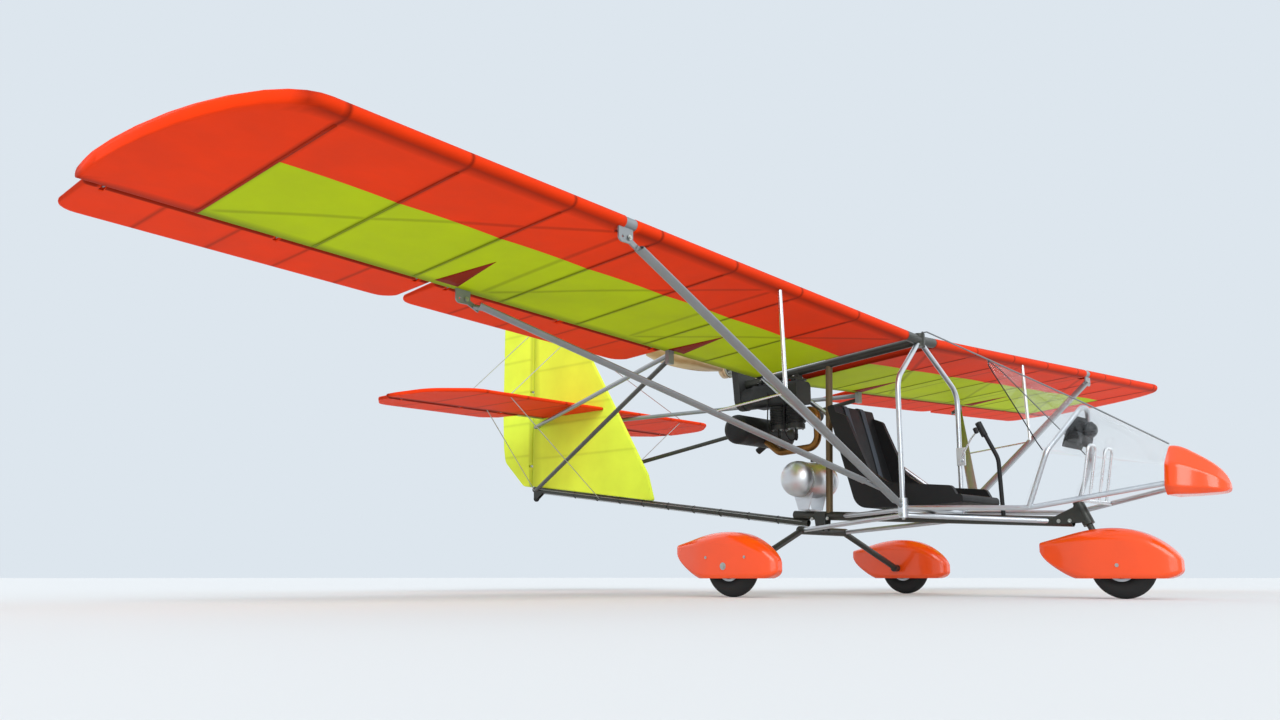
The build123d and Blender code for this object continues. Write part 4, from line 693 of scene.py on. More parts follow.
def make_wing_cloth(side, name):
    """One wing's cloth as a closed skin, with its coloured panels as faces and its tubes' shade as an attribute."""
    wing, _ = sizes()
    ribs, stations = rib_places(), wing_stations()
    form = bmesh.new()
    shade_layer = form.verts.layers.float.new("rib_shade")
    turns = [pi * step / edge_steps for step in range(1, edge_steps)]
    edge = [(wing.chord + wing.rear_radius * sin(turn), -wing.rear_radius * cos(turn)) for turn in turns]
    rows = []
    for station in stations:
        places = wing_chord_places(station)
        upper = [(aft, wing_height(station, aft, True, ribs)) for aft in reversed(places)]
        lower = [(aft, wing_height(station, aft, False, ribs)) for aft in places[1:]]
        row = []
        for aft, up in upper + lower + edge:
            vertex = form.verts.new(wing_point(station, aft, up, side))
            from_spar = min(abs(aft - wing.nose_radius), abs(aft - wing.chord))
            vertex[shade_layer] = max(
                rib_shade_at(station, ribs), max(1 - from_spar / spar_shade_width, 0.0) * spar_shade
            )
            row.append(vertex)
        rows.append(row)
    count, nose = len(rows[0]), len(upper) - 1
    for place, (low, high) in enumerate(zip(rows, rows[1:])):
        red_bay = stations[place] >= wing.tip - 1e-6
        for step in range(count):
            face = form.faces.new((low[step], low[(step + 1) % count], high[(step + 1) % count], high[step]))
            from_nose = nose - 1 - step if step < nose else step - nose
            in_band = from_nose < nose_steps + band_steps and step < nose + len(lower)
            face.material_index = 0 if red_bay or in_band else 1
    for row in (rows[0], rows[-1]):
        form.faces.new(row)
    bmesh.ops.recalc_face_normals(form, faces=form.faces)
    return smooth_piece(form, f"wing_cloth_{name}", "airframe", "wing_fabric", "red", "lime")


# Other cloth surfaces

corner_steps = 6


def rounded_outline(corners, radii):
    """A closed outline with each corner rounded by its radius."""
    outline = []
    for place, (corner, radius) in enumerate(zip(corners, radii)):
        corner = Vector(corner)
        back = (Vector(corners[place - 1]) - corner).normalized()
        ahead = (Vector(corners[(place + 1) % len(corners)]) - corner).normalized()
        half = back.angle(ahead) / 2
        if radius < 1e-4 or half > pi / 2 - 0.01:
            outline.append(corner)
            continue
        setback = radius * cos(half) / sin(half)
        middle = (back + ahead).normalized() * (radius / sin(half))
        start, end = back * setback - middle, ahead * setback - middle
        turn = start.angle_signed(end)
        for step in range(corner_steps + 1):
            outline.append(corner + middle + Matrix.Rotation(-turn * step / corner_steps, 2) @ start)
    return outline


def outline_span(outline, station):
    """Lowest and highest chord place of an outline at a station."""
    crossings = []
    for first, second in zip([outline[-1], *outline], outline):
        low, high = sorted((first, second), key=lambda point: point.x)
        if low.x <= station <= high.x and high.x - low.x > 1e-9:
            crossings.append(low.y + (high.y - low.y) * (station - low.x) / (high.x - low.x))
    return min(crossings), max(crossings)


rim_shares = (0.0, 0.12, 0.4, 1.0, 1.8)
rim_most = 0.45
rib_half_width = 0.014
panel_step = 0.04
panel_steps = 12
merge_distance = 2e-5
panel_rib_dark = 0.6
# Width of the band of painted shade along a hinged edge.
hinge_shade_width = 0.022


def make_cloth_panel(
    name, body, replaced, slot, finish, outline, place, half_at, ribs, sag=0.0012, hinge_ahead=True
):
    """A cloth-covered frame: rounded edge tube, cloth falling in between ribs, tubes showing as shade.

    place turns station, chord place and height into a point; half_at gives the half thickness there.
    hinge_ahead says which edge carries the hinges, where a band of painted shade darkens the cloth.
    """
    start, end = min(point.x for point in outline), max(point.x for point in outline)
    edge = half_at(start, outline_span(outline, start + 1e-4)[0] + 0.02)
    rims = [edge * share for share in rim_shares]
    marks = {start + rim + 1e-5 for rim in rims} | {end - rim - 1e-5 for rim in rims}
    marks.update(point.x for point in outline if start + rims[-1] < point.x < end - rims[-1])
    for rib in ribs:
        marks.update((rib - rib_half_width, rib, rib + rib_half_width))
    steps = max(4, int((end - start) / panel_step))
    marks.update(start + (end - start) * step / steps for step in range(1, steps))
    bays = sorted({start, *ribs, end})
    form = bmesh.new()
    shade_layer = form.verts.layers.float.new("rib_shade")
    rows = []
    for station in sorted(mark for mark in marks if start < mark < end):
        low, high = outline_span(outline, station)
        depth = max(high - low, 1e-4)
        edge_shares = [min(rim / depth, rim_most) for rim in rims]
        inner = [edge_shares[-1] + (1 - 2 * edge_shares[-1]) * step / panel_steps for step in range(1, panel_steps)]
        rows.append([])
        for share in edge_shares + inner + [1 - share for share in reversed(edge_shares)]:
            aft = low + depth * share
            half = half_at(station, aft)
            reach = min(station - start, end - station, aft - low, high - aft) / half
            roll = sqrt(max(0.0, 1 - (1 - min(reach, 1.0)) ** 2))
            height = max(0.0, half * roll - sag * bay_fall(station, bays) * sin(pi * share))
            from_hinges = aft - low if hinge_ahead else high - aft
            # Painted shade: a full dark band along the hinge edge, and fainter lines over the ribs.
            shade = 1.0 if from_hinges < hinge_shade_width else rib_shade_at(station, bays) * panel_rib_dark
            pair = [form.verts.new(place(station, aft, up)) for up in (height, -height)]
            for vertex in pair:
                vertex[shade_layer] = shade
            rows[-1].append(pair)
    for low, high in zip(rows, rows[1:]):
        for step in range(len(low) - 1):
            for layer in (0, 1):
                form.faces.new((low[step][layer], low[step + 1][layer], high[step + 1][layer], high[step][layer]))
    bmesh.ops.remove_doubles(form, verts=form.verts, dist=merge_distance)
    bmesh.ops.recalc_face_normals(form, faces=form.faces)
    cover = smooth_piece(form, name, body, slot, finish)
    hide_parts(replaced)
    return cover


def tapered(front_half, front, rear):
    """Half thickness of a surface, from its front to its thin rear edge."""
    edge = sizes()[1].edge
    return lambda _, aft: front_half + (edge - front_half) * min(1.0, max(0.0, (aft - front) / (rear - front)))


hinge_notch_radius = 0.022
hinge_notch_width = 0.017
hinge_pin_radius = 0.004
hinge_collar_radius = 0.0065
hinge_eye_radius = 0.010
hinge_eye_thickness = 0.005
hinge_inset = 0.070


def cut_hinge_notches(piece, places, axis):
    """Cuts the notches for the hinge tongues into a cover's nose."""
    cutter = bmesh.new()
    reach = Vector(axis) * hinge_notch_width / 2
    for place in places:
        add_tube(cutter, [place - reach, place + reach], hinge_notch_radius, 24)
    cut_from(piece, cutter)


def add_hinge_pins(form, places, axis):
    """Adds the pins that cross the notches, each with a collar at both ends."""
    reach = Vector(axis) * (hinge_notch_width / 2 + 0.002)
    for place in places:
        add_tube(form, [place - reach, place + reach], hinge_pin_radius, 16)
        for side in (-1, 1):
            add_tube(form, [place + reach * side * 0.95, place + reach * side * 0.62], hinge_collar_radius, 16)


def add_eye(form, centre, ahead, axis, length):
    """Adds a flat hinge tongue, from its spar to a round end about the pin."""
    ahead, axis = Vector(ahead), Vector(axis)
    up = axis.cross(ahead)
    outline = [
        centre - (ahead * cos(pi * turn / 12) + up * sin(pi * turn / 12)) * hinge_eye_radius
        for turn in range(-6, 7)
    ]
    outline += [centre + ahead * length + up * hinge_eye_radius * side for side in (-1, 1)]
    add_plate(form, outline, axis * hinge_eye_thickness / 2)


# Operators

# Span station and chord place of the strut fittings, and the gap in the nose cloth at the front one.
front_strut = (2.334, 0.027)
rear_strut = (2.360, 1.034)
strut_gap_half = 0.032
strut_gap_aft = 0.018
strut_gap_radius = 0.062


class WingCloth(bpy.types.Operator):
    """Stretch the wings' cloth over their spars, sew on the red darts and tape the ribs."""

    bl_idname = "microlight.wing_cloth"
    bl_label = "Wing Cloth"

    def execute(self, context):
        for side, name in wings:
            skin = make_wing_cloth(side, name)
            gap = bmesh.new()
            stations = (front_strut[0] - strut_gap_half, front_strut[0] + strut_gap_half)
            ends = [wing_point(station, strut_gap_aft, 0.0, side) for station in stations]
            add_tube(gap, ends, strut_gap_radius, 24)
            cut_from(skin, gap)
            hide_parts(f"wing_{name}")
            make_darts(side, name)
            make_rib_tapes(side, name)
            finish_nodes("strut", f"wing_spars_{name}")
        return {"FINISHED"}


dart_stations = (0.915, 2.490)
dart_length = 0.35
dart_base = 0.13
dart_inset = 0.03
dart_point = 0.0005
dart_lift = 0.0006
dart_steps = 8
dart_thickness = 0.0004
tape_half = 0.007
tape_lift = 0.0007
tape_thickness = 0.0005
tape_shade = 0.85


def make_darts(side, name):
    """Slender red darts under the wing, their points forward."""
    wing, _ = sizes()
    ribs = rib_places()
    form = bmesh.new()
    for station in dart_stations:
        rows = []
        for step in range(dart_steps + 1):
            aft = wing.chord - dart_inset - dart_length * step / dart_steps
            half = dart_base / 2 * (1 - step / dart_steps) + dart_point
            places = [station + across * half for across in (-1, -0.5, 0, 0.5, 1)]
            heights = [wing_height(place, aft, False, ribs) - dart_lift for place in places]
            rows.append([form.verts.new(wing_point(place, aft, up, side)) for place, up in zip(places, heights)])
        join_rows(form, rows)
    bmesh.ops.recalc_face_normals(form, faces=form.faces)
    bmesh.ops.solidify(form, geom=form.faces[:], thickness=dart_thickness)
    smooth_piece(form, f"wing_darts_{name}", "airframe", "red_fabric", "dart")


def make_rib_tapes(side, name):
    """Sewn tapes over every rib but the root's, just proud of the cloth."""
    ribs = rib_places()
    form = bmesh.new()
    shade_layer = form.verts.layers.float.new("rib_shade")
    for rib in ribs[1:]:
        for upper, lift in ((True, tape_lift), (False, -tape_lift)):
            rows = []
            for aft in wing_chord_places(rib)[nose_steps + 1:]:
                up = wing_height(rib, aft, upper, ribs) + lift
                ends = (rib - tape_half, rib + tape_half)
                rows.append([form.verts.new(wing_point(station, aft, up, side)) for station in ends])
                for vertex in rows[-1]:
                    vertex[shade_layer] = tape_shade
            for step, (face,) in enumerate(join_rows(form, rows), start=nose_steps + 1):
                face.material_index = 0 if step < nose_steps + band_steps or rib == ribs[-1] else 1
    bmesh.ops.recalc_face_normals(form, faces=form.faces)
    piece = smooth_piece(form, f"rib_tapes_{name}", "airframe", "wing_fabric", "red", "lime")
    piece.modifiers.new("tape", "SOLIDIFY").thickness = tape_thickness


# Kind, inner station and outer station of the surfaces hinged to each wing.
surface_spans = (("flap", 0.973, 2.500), ("aileron", 2.533, 4.050))


class HingedSurfaces(bpy.types.Operator):
    """Cover the flaps and ailerons and pin their hinges."""

    bl_idname = "microlight.hinged_surfaces"
    bl_label = "Flaps and Ailerons"

    def execute(self, context):
        _, surface = sizes()
        nose, rear = surface.hinge - surface.nose, surface.hinge + surface.chord
        for kind, inner, outer in surface_spans:
            outline = rounded_outline(
                [(inner, nose), (outer, nose), (outer, rear), (inner, rear)],
                (0.0, 0.0, surface.corner, surface.corner),
            )
            ribs = [inner + (outer - inner) * step / 5 for step in range(1, 5)]
            stations = (inner + hinge_inset, (inner + outer) / 2, outer - hinge_inset)
            for side, name in wings:
                body = f"{kind}_{name}"
                cover = make_cloth_panel(
                    f"{body}_cloth", body, body, "red_fabric", "red", outline,
                    partial(wing_point, side=side), tapered(surface.nose, surface.hinge, rear), ribs,
                )
                places = [wing_point(station, surface.hinge, 0.0, side) for station in stations]
                axis = (places[1] - places[0]).normalized()
                cut_hinge_notches(cover, places, axis)
                pins = bmesh.new()
                add_hinge_pins(pins, places, axis)
                piece_from(pins, f"{body}_hinge_pins", body, "stay_steel", "steel")
        return {"FINISHED"}


tail_height = 1.250
elevator_hinges = (0.420, 0.780, 1.260)
rudder_hinges = (0.900, 1.450, 1.950)
elevator_tube_reach = 0.262
elevator_tube_radius = 0.0150
stabiliser_nose_y = 1.434
stabiliser_rear_y = 2.039
stabiliser_root = 0.0123
elevator_axis_y = 2.060
elevator_rear_y = 2.376
elevator_inner = 0.257
elevator_outer = 1.350
boom_front = (0.0, -0.246, 0.409)
boom_rear = (0.0, 2.150, 0.728)
boom_radius = 0.020
rudder_axis_y = 2.183
rudder_rear_y = 2.519
fin_rear_y = 2.165
fin_top_z = 2.050
fin_sag = 0.003
hinge_overlap = 0.004


def over_boom(y):
    """Height just over the lower boom at a fore-and-aft place, where the fin ends."""
    share = (y - boom_front[1]) / (boom_rear[1] - boom_front[1])
    return boom_front[2] + (boom_rear[2] - boom_front[2]) * share + boom_radius + 0.0005


def lying(x, y, up, side):
    """A point of the stabiliser or the elevator."""
    return Vector((x * side, y, tail_height + up))


def standing(z, y, side_on):
    """A point of the fin or the rudder."""
    return Vector((side_on, y, z))


class TailCloth(bpy.types.Operator):
    """Cover the fin, rudder, stabiliser and elevator."""

    bl_idname = "microlight.tail_cloth"
    bl_label = "Tail Cloth"

    def execute(self, context):
        _, surface = sizes()
        half = surface.tail_half
        elevator_nose, rudder_nose = elevator_axis_y - surface.nose, rudder_axis_y - half
        stabiliser = rounded_outline(
            [(stabiliser_root, stabiliser_nose_y), (1.120, stabiliser_nose_y), (1.330, 1.650),
             (1.385, stabiliser_rear_y), (stabiliser_root, stabiliser_rear_y)],
            (0.0, 0.170, 0.300, 0.004, 0.0),
        )
        elevator = rounded_outline(
            [(elevator_inner, elevator_nose), (elevator_outer, elevator_nose),
             (elevator_outer, 2.180), (1.210, elevator_rear_y), (0.340, elevator_rear_y), (elevator_inner, 2.260)],
            (0.0, 0.0, 0.080, 0.120, 0.060, 0.060),
        )
        fin = rounded_outline(
            [(over_boom(0.965), 0.965), (0.770, 1.020), (1.427, 1.438), (1.845, 1.703), (1.985, 1.835),
             (fin_top_z, 1.975), (fin_top_z, fin_rear_y), (over_boom(fin_rear_y), fin_rear_y)],
            (0.012, 0.060, 0.400, 0.400, 0.090, 0.090, 0.006, 0.006),
        )
        rudder = rounded_outline(
            [(0.745, rudder_nose), (0.757, 2.264), (0.949, 2.479), (1.049, 2.500), (1.305, 2.517),
             (1.981, rudder_rear_y), (fin_top_z, 2.475), (fin_top_z, rudder_nose)],
            (0.0, 0.060, 0.090, 0.200, 0.400, 0.060, 0.020, 0.0),
        )
        for side, name in wings:
            make_cloth_panel(
                f"stabiliser_cloth_{name}", "airframe", "stabiliser", "red_fabric", "tail", stabiliser,
                partial(lying, side=side), lambda x, y: half, [0.36, 0.70, 1.04], fin_sag, hinge_ahead=False,
            )
            cover = make_cloth_panel(
                f"elevator_cloth_{name}", "elevator", "elevator", "red_fabric", "tail", elevator,
                partial(lying, side=side), tapered(surface.nose, elevator_axis_y, elevator_rear_y),
                [0.52, 0.80, 1.08],
            )
            cut_hinge_notches(cover, [lying(x, elevator_axis_y, 0.0, side) for x in elevator_hinges], (1, 0, 0))
        make_cloth_panel(
            "fin_cloth", "airframe", "fin", "yellow_fabric", "yellow", fin,
            standing, lambda z, y: half, [0.95, 1.19, 1.31, 1.60, 1.85], fin_sag, hinge_ahead=False,
        )
        cover = make_cloth_panel(
            "rudder_cloth", "rudder", "rudder", "yellow_fabric", "yellow", rudder,
            standing, tapered(half, rudder_axis_y, rudder_rear_y), [0.98, 1.22, 1.46, 1.70, 1.90],
        )
        cut_hinge_notches(cover, [standing(z, rudder_axis_y, 0.0) for z in rudder_hinges], (0, 0, 1))
        make_tail_hinges()
        return {"FINISHED"}


def make_tail_hinges():
    """The pins and tongues of rudder and elevator, and the tube that joins the elevator's halves."""
    pins, tongues, tube = bmesh.new(), bmesh.new(), bmesh.new()
    rudder_places = [standing(z, rudder_axis_y, 0.0) for z in rudder_hinges]
    elevator_places = [lying(x, elevator_axis_y, 0.0, side) for x in elevator_hinges for side, _ in wings]
    for form, places, axis, reach in (
        (pins, rudder_places, (0, 0, 1), rudder_axis_y - fin_rear_y),
        (tube, elevator_places, (1, 0, 0), elevator_axis_y - stabiliser_rear_y),
    ):
        add_hinge_pins(form, places, axis)
        for place in places:
            add_eye(tongues, place, (0, -1, 0), axis, reach + hinge_overlap)
    ends = [lying(elevator_tube_reach, elevator_axis_y, 0.0, side) for side in (-1, 1)]
    add_tube(tube, ends, elevator_tube_radius, 28)
    for share in (0.04, 0.96):
        add_ring(tube, ends[0].lerp(ends[1], share), (1, 0, 0), elevator_tube_radius + 0.0002, 0.0022, 28, 8)
    piece_from(pins, "rudder_hinge_pins", "rudder", "stay_steel", "steel")
    piece_from(tube, "elevator_tube_and_pins", "elevator", "stay_steel", "steel")
    piece_from(tongues, "tail_hinge_tongues", "airframe", "stay_steel", "steel")


class FrameFittings(bpy.types.Operator):
    """Give tubes, struts and stays their finishes and add bolts, ties and control cables."""

    bl_idname = "microlight.frame_fittings"
    bl_label = "Frame and Fittings"

    def execute(self, context):
        for finish, *names in (
            ("bright", "side_rails", "front_cage", "rear_cage", "crossbar", "floor_braces", "windshield_arch"),
            ("dark", "keel_tube", "tail_boom", "lower_tail_tubes", "roof_frame"),
            ("dark_steel", "gear_beam", "gear_legs", "steering_head", "nose_fork", "tail_wheel_bracket"),
            ("strut", "upper_tail_tubes", "front_struts", "rear_struts"),
            ("bronze", "mast"), ("silver", "jury_struts"), ("steel", "tail_stays"),
        ):
            finish_nodes(finish, *names)
        make_cable_ties()
        make_frame_bolts()
        make_tail_cables()
        return {"FINISHED"}


tie_spacing = 0.22
tail_cable_places = ((0.0245, 0.006), (-0.0245, 0.006), (0.010, -0.0235))
tail_cable_radius = 0.0016
crossbar_y = -1.050
fitting_half = 0.026


def make_cable_ties():
    """Black nylon ties round the tail boom, each with its square lock."""
    form = bmesh.new()
    start, end = Vector(boom_front), Vector(boom_rear)
    axis = (end - start).normalized()
    for number in range(1, int((end - start).length / tie_spacing)):
        centre = start + axis * (number * tie_spacing)
        add_ring(form, centre, axis, boom_radius + 0.0012, 0.0014, 28, 6)
        add_prism(form, centre - Vector((0, 0, boom_radius + 0.001)), (0.3, 0, -1), 0.0045, 0.006, 4)
    piece_from(form, "boom_cable_ties", "airframe", "black_plastic", "black")


def make_tail_cables():
    """Control cables that run from the cockpit to the tail along the boom."""
    form = bmesh.new()
    start, end = Vector(boom_front) + Vector((0, 0.03, 0.004)), Vector(boom_rear) - Vector((0, 0.05, 0.007))
    for x, up in tail_cable_places:
        add_tube(form, [place + Vector((x, 0, up)) for place in (start, end)], tail_cable_radius, 8)
    piece_from(form, "tail_cables", "airframe", "stay_steel", "steel")


def make_frame_bolts():
    """Bolt heads and washers where tubes and struts meet."""
    low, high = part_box("crossbar")
    bolts = []
    for place in (front_strut, rear_strut):
        eye = wing_point(*place, -0.062)
        bolts.append(((eye.x, eye.y + 0.0125, eye.z), (0, 1, 0), 0.012, 0.006))
        bolts.append(((eye.x, eye.y - 0.0086, eye.z), (0, -1, 0), 0.012, 0.005))
    bolts += [((0.0315, y, 0.430), (1, 0, 0), 0.010, 0.005) for y in (-0.290, -0.395)]
    bolts += [((0.0295, y, 0.370), (1, 0, 0), 0.010, 0.004) for y in (-1.735, -1.790)]
    bolts = both_sides(*bolts)
    for side, x in ((1, high.x), (-1, low.x)):
        middle_z = (low.z + high.z) / 2
        bolts += [((x, crossbar_y, middle_z + up), (side, 0, 0), 0.013, 0.006) for up in (-0.034, 0.034)]
        for z, up in ((high.z, 1), (low.z, -1)):
            bolts.append(((x - fitting_half * side, crossbar_y, z), (0, 0, up), 0.016, 0.007))
    make_bolts("frame_bolts", "airframe", "stay_steel", *bolts)


class HoodAndNose(bpy.types.Operator):
    """Finish the clear hood and the nose cone, with their screws and edge trim."""

    bl_idname = "microlight.hood_and_nose"
    bl_label = "Hood and Nose Cone"

    def execute(self, context):
        finish_nodes("hood", "windshield")
        finish_nodes("gelcoat", "nose_cone")
        seam_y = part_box("nose_cone")[1].y - 0.012
        places = ((0.126, seam_y, 0.520), (0.118, seam_y, 0.560), (0.108, seam_y, 0.600))
        screws = [(place, (1, 0, 0.15), 0.007, 0.002) for place in places]
        make_bolts("hood_screws", "airframe", "stay_steel", *both_sides(*screws))
        make_hood_trim()
        return {"FINISHED"}


hood_edge_low = (0.0, -1.7861, 0.6940)
hood_edge_high = (0.0, -1.4065, 1.2175)
hood_edge_steps = 13
ridge_front_y = -2.27
ridge_length = 0.86
ridge_steps = 12
roof_front = (0.0, -1.0300, 1.4245)
trim_radius = 0.0028
ridge_rod_radius = 0.0040


def on_hood(surface, start, direction):
    """Where a ray meets the hood's outer face."""
    place = surface.ray_cast(Vector(start), Vector(direction))[0]
    if place is None:
        raise RuntimeError("The hood isn't where its trim expects it.")
    return place


def make_hood_trim():
    """Rubber edging on the hood's rear edge, and the rod along its ridge that ties its peak to the roof."""
    mesh = nodes["windshield"].data
    corners, faces = [vertex.co for vertex in mesh.vertices], [face.vertices[:] for face in mesh.polygons]
    surface = BVHTree.FromPolygons(corners, faces)
    low, high, roof = Vector(hood_edge_low), Vector(hood_edge_high), Vector(roof_front)
    places = [low.lerp(high, step / hood_edge_steps) for step in range(hood_edge_steps)]
    left, right = (
        [on_hood(surface, (0.6 * side, place.y - 0.002, place.z), (-side, 0, 0)) for place in places]
        for side, _ in wings
    )
    form = bmesh.new()
    add_tube(form, left + [high + Vector((0, 0, 0.001))] + right[::-1], trim_radius, 10)
    piece_from(form, "hood_edging", "airframe", "black_plastic", "black")
    form = bmesh.new()
    lift = Vector((0, 0, ridge_rod_radius * 1.1))
    starts = [(0.0005, ridge_front_y + ridge_length * step / ridge_steps, 2.0) for step in range(ridge_steps + 1)]
    ridge = [on_hood(surface, start, (0, 0, -1)) + lift for start in starts]
    add_tube(form, ridge + [roof + Vector((0, -0.03, 0)), roof], ridge_rod_radius)
    for place in (ridge[1], ridge[6], ridge[11]):
        add_ring(form, place, (0, 0.85, 0.52), ridge_rod_radius, 0.0022, 20, 8)
    add_bolt(form, roof + Vector((0, -0.004, 0.002)), (0, 0, 1), 0.008, 0.003)
    piece_from(form, "hood_ridge_rod", "airframe", "stay_steel", "strut")


class Cockpit(bpy.types.Operator):
    """Finish the seat, panel, pedals and stick, and fit dials, compass, throttle and straps."""

    bl_idname = "microlight.cockpit"
    bl_label = "Cockpit"

    def execute(self, context):
        finish_nodes("black", "seat", "instrument_panel", "control_stick")
        finish_nodes("silver", "rudder_pedals")
        make_dials()
        make_compass()
        make_throttle()
        make_harness()
        return {"FINISHED"}


# The plane of the windshield arch, in which the instruments stand.
arch_foot = Vector((0.0, -1.700, 0.425))
arch_lean = radians(21.1)
arch_up = Vector((0, -sin(arch_lean), cos(arch_lean)))
arch_back = Vector((0, cos(arch_lean), sin(arch_lean)))
dial_places = ((-0.062, 0.375), (0.062, 0.375), (0.0, 0.430))
dial_front = 0.0034
dial_radius = 0.0285
compass_place = (0.0, 0.430, -0.056)
compass_radius = 0.040


def arch_point(x, up, aft):
    """A point given in the leaning plane of the windshield arch."""
    return arch_foot + Vector((x, 0, 0)) + arch_up * up + arch_back * aft


def make_dials():
    """Dial faces with plain marks and a needle, facing the seat."""
    faces, marks = bmesh.new(), bmesh.new()
    for x, up in dial_places:
        centre = arch_point(x, up, dial_front)
        add_prism(faces, centre, arch_back, dial_radius, 0.0012, 40)
        # Angle, height over the face, both ends and radius of each mark, and of the needle last.
        lines = [(2 * pi * step / 12, 0.0016, 0.021, 0.026, 0.0006) for step in range(12)]
        for angle, lift, inner, outer, radius in (*lines, (12 * x - 0.9, 0.0020, -0.005, 0.019, 0.0008)):
            out = Vector((sin(angle), 0, 0)) + arch_up * cos(angle)
            add_tube(marks, [centre + arch_back * lift + out * reach for reach in (inner, outer)], radius, 6)
    piece_from(faces, "dial_faces", "airframe", "panel_grey", "dial")
    piece_from(marks, "dial_marks", "airframe", "panel_grey", "mark")


def make_compass():
    """The round black compass bowl ahead of the middle pod, with the ring that clamps it."""
    form = bmesh.new()
    centre = arch_point(*compass_place)
    place = Matrix.Translation(centre)
    bmesh.ops.create_uvsphere(form, u_segments=40, v_segments=24, radius=compass_radius, matrix=place)
    add_ring(form, centre, -arch_back, compass_radius + 0.0005, 0.0030, 48, 10)
    piece_from(form, "compass_bowl", "airframe", "black_plastic", "gloss")


throttle_foot = Vector((0.326, -1.051, 0.760))
throttle_lever = ((-0.026, -0.020, -0.02), (-0.027, -0.045, 0.03), (-0.030, -0.085, 0.09), (-0.034, -0.120, 0.125))


def make_throttle():
    """The throttle lever on the port cage tube: clamped bracket, lever and knob."""
    form = bmesh.new()
    for up in (-0.034, 0.034):
        add_ring(form, throttle_foot + Vector((0, 0, up)), (0, 0, 1), 0.0158, 0.0030, 32, 8)
    add_box(form, throttle_foot + Vector((-0.019, -0.016, 0)), (0.005, 0.052, 0.100))
    lever = [throttle_foot + Vector(place) for place in throttle_lever]
    add_tube(form, smooth_line(lever), 0.0050, 14)
    add_bolt(form, throttle_foot + Vector((-0.0215, -0.020, -0.02)), (-1, 0, 0), 0.012, 0.010)
    piece_from(form, "throttle_lever", "airframe", "stay_steel", "silver")
    knob = bmesh.new()
    start, end = lever[-1] + Vector((0, -0.006, -0.004)), lever[-1] + Vector((0, 0.006, 0.026))
    add_tube(knob, [start.lerp(end, step / 6) for step in range(7)], 0.0125, 20)
    piece_from(knob, "throttle_knob", "airframe", "black_plastic", "black", bevel=0.004)


shoulder_strap = (
    (0.085, -0.538, 0.990), (0.085, -0.524, 1.044), (0.085, -0.550, 1.060), (0.085, -0.580, 1.050),
    (0.085, -0.5905, 1.000), (0.083, -0.6210, 0.900), (0.078, -0.6515, 0.800), (0.070, -0.6820, 0.700),
    (0.060, -0.7125, 0.600), (0.050, -0.7450, 0.526), (0.036, -0.7900, 0.5215), (0.016, -0.8300, 0.5235),
)
lap_strap = (
    (0.172, -0.7300, 0.560), (0.166, -0.7480, 0.527), (0.120, -0.7900, 0.5215), (0.064, -0.8250, 0.5215),
    (0.016, -0.8380, 0.5235),
)
strap_width = 0.044
strap_thickness = 0.0018
buckle_place = Vector((0, -0.834, 0.5255))
buckle_size = (0.052, 0.046, 0.010)


def make_harness():
    """Lap and shoulder straps of flat webbing laid on the seat, with their buckle."""
    form = bmesh.new()
    for side, _ in wings:
        for route in (shoulder_strap, lap_strap):
            points = [Vector((x * side, y, z)) for x, y, z in route]
            rows = []
            for before, point, after in zip(points[:1] + points, points, points[1:] + points[-1:]):
                ahead = (after - before).normalized()
                across = Vector((1, 0, 0)) if abs(ahead.x) < 0.5 else Vector((0, 1, 0))
                across = (across - ahead * across.dot(ahead)).normalized() * strap_width / 2
                rows.append([form.verts.new(point - across), form.verts.new(point + across)])
            join_rows(form, rows)
    piece = smooth_piece(form, "seat_straps", "airframe", "black_plastic", "webbing")
    modifier = piece.modifiers.new("smooth", "SUBSURF")
    modifier.levels = modifier.render_levels = 2
    piece.modifiers.new("webbing", "SOLIDIFY").thickness = strap_thickness
    buckle = bmesh.new()
    add_box(buckle, buckle_place, buckle_size)
    add_prism(buckle, buckle_place + Vector((0, 0, 0.0045)), (0, 0, 1), 0.013, 0.0025, 28)
    piece_from(buckle, "seat_buckle", "airframe", "stay_steel", "steel", bevel=0.002)


class Engine(bpy.types.Operator):
    """Finish the engine, drive, exhaust and propeller, and add bolts, plug leads and the fuel tank."""

    bl_idname = "microlight.engine"
    bl_label = "Engine"

    def execute(self, context):
        for finish, *names in (
            ("cast", "engine_block", "reduction_drive", "carburettors"), ("steel", "propeller_shaft"),
            ("soot", "muffler"), ("header", "exhaust_pipe"), ("wood", "propeller"),
        ):
            finish_nodes(finish, *names)
        make_engine_details()
        make_tank()
        return {"FINISHED"}


engine_axis_z = 1.180
cylinder_places = (-0.175, -0.055)
head_z = engine_axis_z - 0.211
plug_z = engine_axis_z - 0.243
drive_cover_y = 0.240
bearer_z = 1.2727
propeller_z = 1.397
hub_y = 0.367
bolt_circle = 0.040
drive_bolt_circle = 0.083
plug_cap = ((0, 0, 0), (0, 0, -0.022), (-0.008, 0, -0.034))
plug_lead = (
    (-0.008, 0, -0.030), (-0.050, 0.01, -0.040), (-0.092, 0.02, 0.03), (-0.086, 0.02, 0.193), (-0.074, 0.03, 0.253),
)
plug_cap_radius = 0.011
plug_lead_radius = 0.0038


